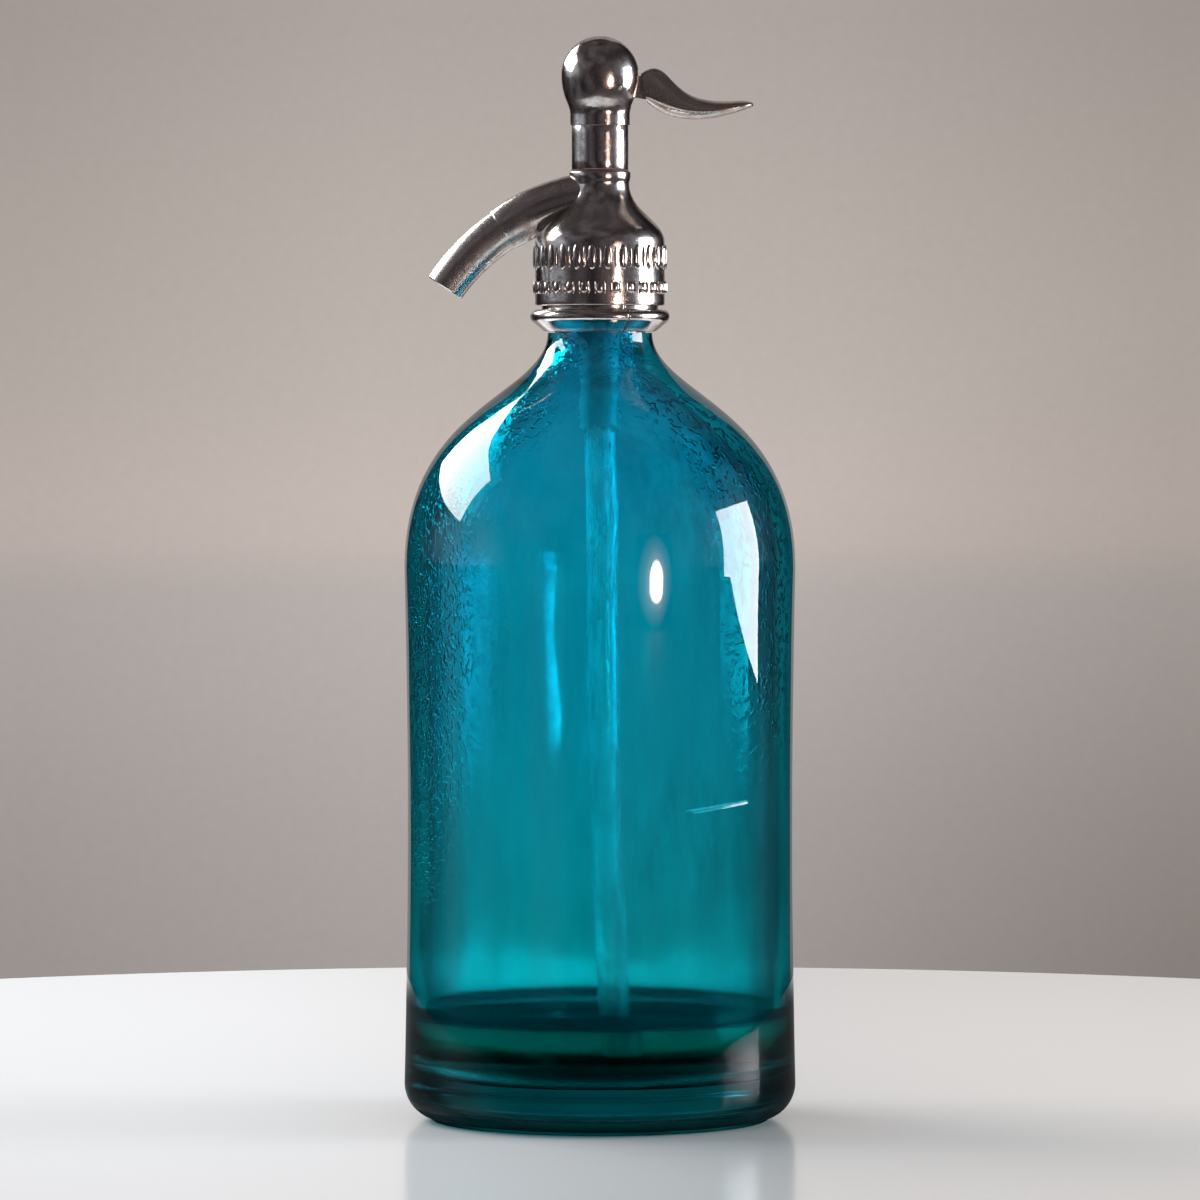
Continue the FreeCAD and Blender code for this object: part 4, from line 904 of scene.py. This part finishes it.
def strung(sections):
    """A closed shape strung over sections of equal length."""
    shape = bmesh.new()
    rings = [[shape.verts.new(p) for p in section] for section in sections]
    size = len(rings[0])
    for ring, following in zip(rings, rings[1:]):
        for k in range(size):
            shape.faces.new((ring[k], ring[(k + 1) % size], following[(k + 1) % size], following[k]))
    for ring in (rings[0], rings[-1]):
        centre = shape.verts.new(sum((v.co for v in ring), Vector()) / size)
        for k in range(size):
            shape.faces.new((ring[k], ring[(k + 1) % size], centre))
    bmesh.ops.recalc_face_normals(shape, faces=shape.faces)
    return shape


def plate(outline, half_thickness):
    """An upright plate from an outline in the XZ plane."""
    shape = bmesh.new()
    sides = [[shape.verts.new((x, y, z)) for x, z in outline] for y in (-half_thickness, half_thickness)]
    for side in sides:
        shape.faces.new(side)
    size = len(outline)
    for k in range(size):
        shape.faces.new((sides[0][k], sides[0][(k + 1) % size], sides[1][(k + 1) % size], sides[1][k]))
    bmesh.ops.recalc_face_normals(shape, faces=shape.faces)
    return shape


def thumb_lever():
    hub, nose_reach, nose_drop, nose = 2.3, 5.4, math.radians(11), 1.5
    pin = Vector((PIN_X, PIN_Z))
    around = [Vector((math.cos(a), math.sin(a))) for a in
              (math.radians(90 + 180 * k / 24) for k in range(25))]
    tongue = [pin + hub * v for v in around]
    tongue += [pin + Vector(p) for p in ((7.7, -3.5), (9.2, -2.8), (7.5, 2.3), (6.0, 3.1))]
    nose_at = pin - nose_reach * Vector((math.cos(nose_drop), math.sin(nose_drop)))
    arm_up = 0.9 * Vector((-math.sin(nose_drop), math.cos(nose_drop)))
    start = math.atan2(arm_up.y, arm_up.x)
    arm = [pin - arm_up, pin + arm_up]
    arm += [nose_at + nose * Vector((math.cos(start + a), math.sin(start + a)))
            for a in (math.pi * (0.08 + 0.84 * k / 20) for k in range(21))]
    shape = merge(strung(lever_sections()), plate(tongue, 2.0), plate(arm, 1.2))
    return make("thumb_lever", shape, DULL_NICKEL, "lever", ["lever"])


# ---- what repeats: ornament and spring --------------------------------------------------------

def tree_of(name, sizes):
    """An empty Geometry Nodes tree with named size inputs."""
    tree = bpy.data.node_groups.new(name, "GeometryNodeTree")
    tree.interface.new_socket("Geometry", in_out="INPUT", socket_type="NodeSocketGeometry")
    for size in sizes:
        tree.interface.new_socket(size, in_out="INPUT", socket_type="NodeSocketFloat")
    tree.interface.new_socket("Geometry", in_out="OUTPUT", socket_type="NodeSocketGeometry")
    return tree, add(tree, "NodeGroupInput").outputs


def grown(name, tree, sizes, material, body, replaces=()):
    """Run a Geometry Nodes tree and keep its result as a plain piece."""
    seed = bpy.data.objects.new(name, bpy.data.meshes.new(name))
    bpy.context.scene.collection.objects.link(seed)
    nodes = seed.modifiers.new(name, "NODES")
    nodes.node_group = tree
    for item in tree.interface.items_tree:
        if item.in_out == "INPUT" and item.name in sizes:
            nodes[item.identifier] = float(sizes[item.name])
    apply_modifiers(seed)
    seed.data.materials.clear()
    seed.data.materials.append(material)
    seed.data.shade_smooth()
    seed.data.set_sharp_from_angle(angle=SHARP)
    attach(seed, body)
    if replaces:
        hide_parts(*replaces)
    return seed


def bead_row(tree, sizes, material):
    """A row of bosses round the axis. Sizes: radius, height, count, wide, tall, proud, shift."""
    circle = add(tree, "GeometryNodeMeshCircle", {"Vertices": sizes["count"], "Radius": sizes["radius"]})
    boss = add(tree, "GeometryNodeMeshUVSphere", {"Segments": 14, "Rings": 10, "Radius": 1.0})
    outward = add(tree, "FunctionNodeAlignEulerToVector",
                  {"Vector": add(tree, "GeometryNodeInputPosition").outputs[0]}, axis="X", pivot_axis="Z")
    size = add(tree, "ShaderNodeCombineXYZ", {"X": sizes["proud"], "Y": sizes["wide"], "Z": sizes["tall"]})
    row = add(tree, "GeometryNodeInstanceOnPoints", {
        "Points": circle.outputs[0], "Instance": boss.outputs[0], "Rotation": outward.outputs[0],
        "Scale": size.outputs[0]})
    lift = add(tree, "ShaderNodeCombineXYZ", {"Z": sizes["height"]})
    turned = add(tree, "ShaderNodeCombineXYZ", {"Z": sizes["shift"]})
    placed = add(tree, "GeometryNodeTransform", {"Geometry": row.outputs[0], "Translation": lift.outputs[0],
                                                 "Rotation": turned.outputs[0]})
    real = add(tree, "GeometryNodeRealizeInstances", {0: placed.outputs[0]})
    return add(tree, "GeometryNodeSetMaterial", {"Geometry": real.outputs[0], "Material": material}).outputs[0]


def skirt_ornament():
    """Cast bands round the skirt: egg and dart above, bead and reel below."""
    tree, given = tree_of("skirt_bands", ("radius", "upper", "lower", "proud"))
    across = 2 * math.pi / 52
    rows = (
        ("upper", 26, 1.25, 3.6, 0.0), ("upper", 26, 0.42, 3.0, across),
        ("lower", 26, 1.15, 1.7, across), ("lower", 26, 0.34, 1.9, 0.42 * across),
        ("lower", 26, 0.34, 1.9, -0.42 * across),
    )
    joined = add(tree, "GeometryNodeJoinGeometry")
    for height, count, wide, tall, shift in rows:
        row = bead_row(tree, {"radius": given["radius"], "height": given[height], "count": count,
                              "wide": wide * MM, "tall": tall * MM, "proud": given["proud"],
                              "shift": shift}, NICKEL)
        tree.links.new(row, joined.inputs[0])
    add(tree, "NodeGroupOutput", {0: joined.outputs[0]})
    sizes = {"radius": SKIRT_RADIUS * MM, "upper": (SKIRT_BASE + 13.5) * MM,
             "lower": (SKIRT_BASE + 5.0) * MM, "proud": 0.65 * MM}
    return grown("skirt_bands", tree, sizes, NICKEL, "siphon")


def return_spring():
    """The return spring's round wire, wound by a helix."""
    wire = 0.55
    names = ("turns", "radius", "rise", "base", "wire")
    tree, given = tree_of("wound_spring", names)
    helix = add(tree, "GeometryNodeCurveSpiral", {
        "Resolution": 48, "Rotations": given["turns"], "Start Radius": given["radius"],
        "End Radius": given["radius"], "Height": given["rise"]})
    section = add(tree, "GeometryNodeCurvePrimitiveCircle", {"Resolution": 16, "Radius": given["wire"]})
    coil = add(tree, "GeometryNodeCurveToMesh", {"Curve": helix.outputs[0], "Profile Curve": section.outputs[0],
                                                 "Fill Caps": True})
    lift = add(tree, "ShaderNodeCombineXYZ", {"Z": given["base"]})
    placed = add(tree, "GeometryNodeTransform", {"Geometry": coil.outputs[0], "Translation": lift.outputs[0]})
    real = add(tree, "GeometryNodeRealizeInstances", {0: placed.outputs[0]})
    painted = add(tree, "GeometryNodeSetMaterial", {"Geometry": real.outputs[0], "Material": SPRING_STEEL})
    add(tree, "NodeGroupOutput", {0: painted.outputs[0]})
    low, high = SPRING_LOW.z + wire, SPRING_HIGH.z - wire
    sizes = {"turns": 5.0, "radius": 4.1 * MM, "rise": (high - low) * MM, "base": low * MM, "wire": wire * MM}
    spring = grown("return_spring", tree, sizes, SPRING_STEEL, "siphon", ["spring"])
    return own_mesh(spring)


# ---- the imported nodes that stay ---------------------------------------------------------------

def dress(material, *nodes):
    for node in nodes:
        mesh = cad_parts[node].data
        mesh.materials.clear()
        mesh.materials.append(material)


# ---- stage, lamps and camera ------------------------------------------------------------------

def seen(tree):
    """1 for the rays that show a backdrop: seen straight, in a mirror or through glass."""
    path = add(tree, "ShaderNodeLightPath").outputs
    some = arithmetic(tree, "MAXIMUM", path["Is Camera Ray"], path["Is Glossy Ray"])
    return arithmetic(tree, "MAXIMUM", some, path["Is Transmission Ray"])


def stage_piece(name, corners, material):
    mesh = bpy.data.meshes.new(name)
    mesh.from_pydata(corners, [], [range(len(corners))])
    piece = bpy.data.objects.new(name, mesh)
    bpy.context.scene.collection.objects.link(piece)
    mesh.materials.append(material)
    return piece


def table():
    """A round white lacquered table top."""
    material, tree = new_material("white_table_lacquer")
    place = place_of(tree)
    side = add(tree, "ShaderNodeSeparateXYZ", {0: place}).outputs["X"]
    # painted light and shade: the top is lighter on the left, darkest in a band just right of the bottle where its
    # shadow falls, and lighter again at the right edge
    shine = add(tree, "ShaderNodeBsdfPrincipled", {
        "Base Color": ramp(tree, between(tree, side, -0.15, 0.2), (0.0, "E8ECF0"), (0.6, "C8C9CA"), (1.0, "DCDAD8")),
        "Roughness": 0.17, "IOR": 1.45})
    add(tree, "ShaderNodeOutputMaterial", {"Surface": shine.outputs[0]})
    radius, middle = 0.44, 0.069
    corners = [(radius * math.cos(a), middle + radius * math.sin(a), 0.0)
               for a in (2 * math.pi * k / 256 for k in range(256))]
    return stage_piece("table_top", corners, material)


WALL_Y = 1.3


def backdrop():
    """A rolled matt wall, with painted light and shade: lighter behind the object, darker to the sides and towards
    the lower right corner, with a faint painted edge of shade across it.
    """
    material, tree = new_material("warm_grey_wall_paint")
    place = place_of(tree)
    parts = add(tree, "ShaderNodeSeparateXYZ", {0: place}).outputs
    low, high = -0.09, 0.39
    up = add(tree, "ShaderNodeMapRange", {"Value": parts["Z"], "From Min": low, "From Max": high}).outputs[0]
    # painted light and shade: the wall's colour rises and falls with height
    painted_shade = ramp(tree, up, (0.056, "A69F9B"), (0.188, "AEA6A2"), (0.301, "B5ADA9"), (0.405, "BAB2AE"),
                 (0.452, "C6BAB4"), (0.49, "C7BBB5"), (0.604, "C0B6B0"), (0.773, "B8AFA9"), (0.944, "AFA6A1"))
    side = add(tree, "ShaderNodeMapRange", {"Value": parts["X"], "From Min": -0.26, "From Max": 0.26}).outputs[0]
    # painted shade: darker towards both sides
    edge = ramp(tree, side, (0.0, "EFEEEE"), (0.3, "FFFFFF"), (0.6, "FFFFFF"), (0.7, "FCFCFC"), (1.0, "EAE9E8"))
    corner = add(tree, "ShaderNodeVectorMath", {0: place, 1: (0.32, WALL_Y, -0.12)}, operation="DISTANCE")
    # painted shade: darker towards the lower right corner
    painted_corner_shade = ramp(tree, corner.outputs["Value"], (0.0, "DCDBDA"), (0.36, "FFFFFF"))
    roller = ramp(tree, grain(tree, place, 5.0, detail=3.0), (0.3, "FBFBFB"), (0.7, "FFFFFF"))
    colour = edge
    for layer in (painted_shade, roller, painted_corner_shade):
        colour = add(tree, "ShaderNodeMix", {"Factor": 1.0, 6: colour, 7: layer}, data_type="RGBA",
                     blend_type="MULTIPLY").outputs["Result"]
    paint = add(tree, "ShaderNodeBsdfDiffuse", {"Color": colour})
    light = add(tree, "ShaderNodeEmission", {"Color": colour, "Strength": 1.0})
    front = add(tree, "ShaderNodeMixShader", {0: seen(tree), 1: paint.outputs[0], 2: light.outputs[0]})
    open_back = add(tree, "ShaderNodeBsdfTransparent")
    side = add(tree, "ShaderNodeNewGeometry").outputs["Backfacing"]
    wall = add(tree, "ShaderNodeMixShader", {0: side, 1: front.outputs[0], 2: open_back.outputs[0]})
    add(tree, "ShaderNodeOutputMaterial", {"Surface": wall.outputs[0]})
    half, low, high = 0.55, -0.8, 1.8
    corners = [(-half, WALL_Y, low), (half, WALL_Y, low), (half, WALL_Y, high), (-half, WALL_Y, high)]
    return stage_piece("wall", corners, material)


def room():
    """Even light from all round; in a mirror the room is dim, as between two windows."""
    world = bpy.data.worlds.new("room")
    bpy.context.scene.world = world
    world.use_nodes = True
    tree = world.node_tree
    tree.nodes.clear()
    path = add(tree, "ShaderNodeLightPath").outputs
    fill = add(tree, "ShaderNodeBackground", {"Color": srgb("FFFFFF"), "Strength": 0.64})
    around = add(tree, "ShaderNodeTexCoord").outputs["Generated"]
    furniture = add(tree, "ShaderNodeTexNoise", {"Vector": around, "Scale": 2.2, "Detail": 3.0}).outputs["Fac"]
    way = add(tree, "ShaderNodeSeparateXYZ", {0: around}).outputs
    side = arithmetic(tree, "ABSOLUTE", way["X"], 0.0)
    above = between(tree, way["Z"], -0.01, 0.012)
    lit = arithmetic(tree, "MULTIPLY", side, arithmetic(tree, "ADD", arithmetic(tree, "MULTIPLY", above, 0.3), 0.7))
    colour = ramp(tree, lit, (0.6, "5C565A"), (0.86, "7C7C84"), (0.93, "C8D0DC"))
    for layer in (ramp(tree, furniture, (0.36, "706A6C"), (0.64, "FFFFFF")),
                  ramp(tree, way["Y"], (0.4, "FFFFFF"), (0.7, "7A7476"))):
        colour = add(tree, "ShaderNodeMix", {"Factor": 1.0, 6: colour, 7: layer}, data_type="RGBA",
                     blend_type="MULTIPLY").outputs["Result"]
    dim = add(tree, "ShaderNodeBackground", {"Color": colour, "Strength": 1.0})
    plain = add(tree, "ShaderNodeBackground", {
        "Color": ramp(tree, side, (0.36, "B8B0AB"), (0.7, "4C4846")), "Strength": 1.0})
    mirrored = add(tree, "ShaderNodeMixShader", {0: path["Is Glossy Ray"], 1: fill.outputs[0], 2: dim.outputs[0]})
    through = arithmetic(tree, "MAXIMUM", path["Is Camera Ray"], path["Is Transmission Ray"])
    shown = add(tree, "ShaderNodeMixShader", {0: through, 1: mirrored.outputs[0], 2: plain.outputs[0]})
    add(tree, "ShaderNodeOutputWorld", {"Surface": shown.outputs[0]})


def towards(azimuth, elevation, distance, start=(0, 0, 0.185)):
    """A place seen from the start: azimuth from +Y towards +X, and elevation, in degrees."""
    turned, raised = math.radians(azimuth), math.radians(elevation)
    way = Vector((math.sin(turned) * math.cos(raised), math.cos(turned) * math.cos(raised), math.sin(raised)))
    return Vector(start) + distance * way


def softbox(name, place, aim, size, power, tint="FFFFFF", shape="RECTANGLE", tilt=0.0):
    lamp = bpy.data.lights.new(name, "AREA")
    lamp.shape = shape
    lamp.size, lamp.size_y = size
    lamp.energy = power
    lamp.color = srgb(tint)[:3]
    holder = bpy.data.objects.new(name, lamp)
    bpy.context.scene.collection.objects.link(holder)
    holder.matrix_world = facing(place, aim) @ Matrix.Rotation(math.radians(tilt), 4, "Z")
    holder.visible_camera = False
    return holder


def facing(place, aim):
    """Stand at a place and look at another, with -Z ahead and Y up."""
    ahead = Vector(aim) - Vector(place)
    return Matrix.Translation(place) @ ahead.to_track_quat("-Z", "Y").to_matrix().to_4x4()


def glow_card(name, place, half_width, reach_up, reach_down, strengths, tint):
    """An upright card that glows, strongest in its middle; strengths go from the middle outwards."""
    material, tree = new_material(name + "_glow")
    ahead = Vector((-place.x, -place.y, 0)).normalized()
    aside = ahead.cross(Z)
    from_middle = add(tree, "ShaderNodeVectorMath", {0: place_of(tree), 1: place}, operation="SUBTRACT").outputs[0]
    across, above, below = (
        add(tree, "ShaderNodeVectorMath", {0: from_middle, 1: way / size}, operation="DOT_PRODUCT").outputs["Value"]
        for way, size in ((aside, half_width), (Z, reach_up), (-Z, reach_down)))
    up = arithmetic(tree, "MAXIMUM", above, below)
    offset = add(tree, "ShaderNodeCombineXYZ", {0: across, 1: up}).outputs[0]
    away = add(tree, "ShaderNodeVectorMath", {0: offset}, operation="LENGTH").outputs["Value"]
    strongest = strengths[0][1]
    fall = add(tree, "ShaderNodeValToRGB", {"Fac": away})
    elements = fall.color_ramp.elements
    while len(elements) < len(strengths):
        elements.new(0.5)
    for element, (distance, strength) in zip(elements, strengths):
        element.position = distance
        element.color = (*[strength / strongest] * 3, 1.0)
    shine = arithmetic(tree, "MULTIPLY", fall.outputs["Color"], strongest)
    emitter = add(tree, "ShaderNodeEmission", {"Color": srgb(tint), "Strength": shine})
    add(tree, "ShaderNodeOutputMaterial", {"Surface": emitter.outputs[0]})
    corners = [place + aside * half_width * u + Z * v
               for u, v in ((-1, -reach_down), (1, -reach_down), (1, reach_up), (-1, reach_up))]
    card = stage_piece(name, corners, material)
    card.visible_camera = False
    return card


def lamp_shelf():
    """A black card under the table lamp, which keeps its light off the table."""
    corners = [towards(azimuth, 0, reach, (0, 0, 0.066))
               for azimuth, reach in ((129, 1.0), (165, 1.0), (170, 0.66), (124, 0.66))]
    shelf = stage_piece("lamp_shelf", corners, BLACK_CARD)
    shelf.visible_camera = False
    return shelf


def black_card():
    material, tree = new_material("black_card")
    card = add(tree, "ShaderNodeBsdfDiffuse", {"Color": srgb("3A3638")})
    add(tree, "ShaderNodeOutputMaterial", {"Surface": card.outputs[0]})
    return material


BLACK_CARD = black_card()


def camera():
    """At the siphon's neck height, about two metres away, looking slightly down."""
    eye, aim = Vector((0, -2.114, 0.221)), Vector((0, 0, 0.146))
    lens = bpy.data.cameras.new("camera")
    lens.sensor_width = 36
    lens.lens = 226
    lens.clip_end = 20
    holder = bpy.data.objects.new("camera", lens)
    bpy.context.scene.collection.objects.link(holder)
    holder.matrix_world = facing(eye, aim)
    bpy.context.scene.camera = holder


# ---- everything together ----------------------------------------------------------------------

glass_bottle()
water_in_bottle()
dip_tube()
tube_sleeve()
ring_half("collar_half_right", "neck_ring_right", 24.5)
ring_half("collar_half_left", "neck_ring_left", 204.5)
head_body()
spout_tube()
spring_barrel()
dome_cap()
lever_pin()
thumb_lever()
skirt_ornament()
return_spring()

dress(RUBBER, "mouth_gasket", "head_gasket", "valve_rubber", "piston_seal")
dress(FIBRE, "barrel_gasket")
dress(HOLDER, "tube_holder")
dress(BRASS, "valve_seat", "valve_cup", "seal_washer", "piston_rod", "guide_bush")

table()
backdrop()
room()
CENTRE = (0, 0, 0.185)
softbox("right_window", (1.0, 0.02, 0.32), (0, 0.02, 0.32), (0.53, 0.49), 11.0, "F6F9FF", tilt=-3.5)
softbox("left_window", towards(-62, 30, 1.0), CENTRE, (0.95, 0.46), 14.0, "FFFFFF", tilt=-6.0)
glow_card("table_lamp", towards(148, 0, 0.94, (0, 0, 0.0785)), 0.175, 0.34, 0.012,
          ((0.0, 36.0), (0.36, 32.0), (0.43, 4.0), (0.66, 1.4), (1.0, 0.0)), "FFE4D8")
lamp_shelf()
camera()

scene = bpy.context.scene
scene.view_settings.view_transform = "Standard"
scene.cycles.transmission_bounces = 24
scene.cycles.max_bounces = 24
scene.cycles.glossy_bounces = 8
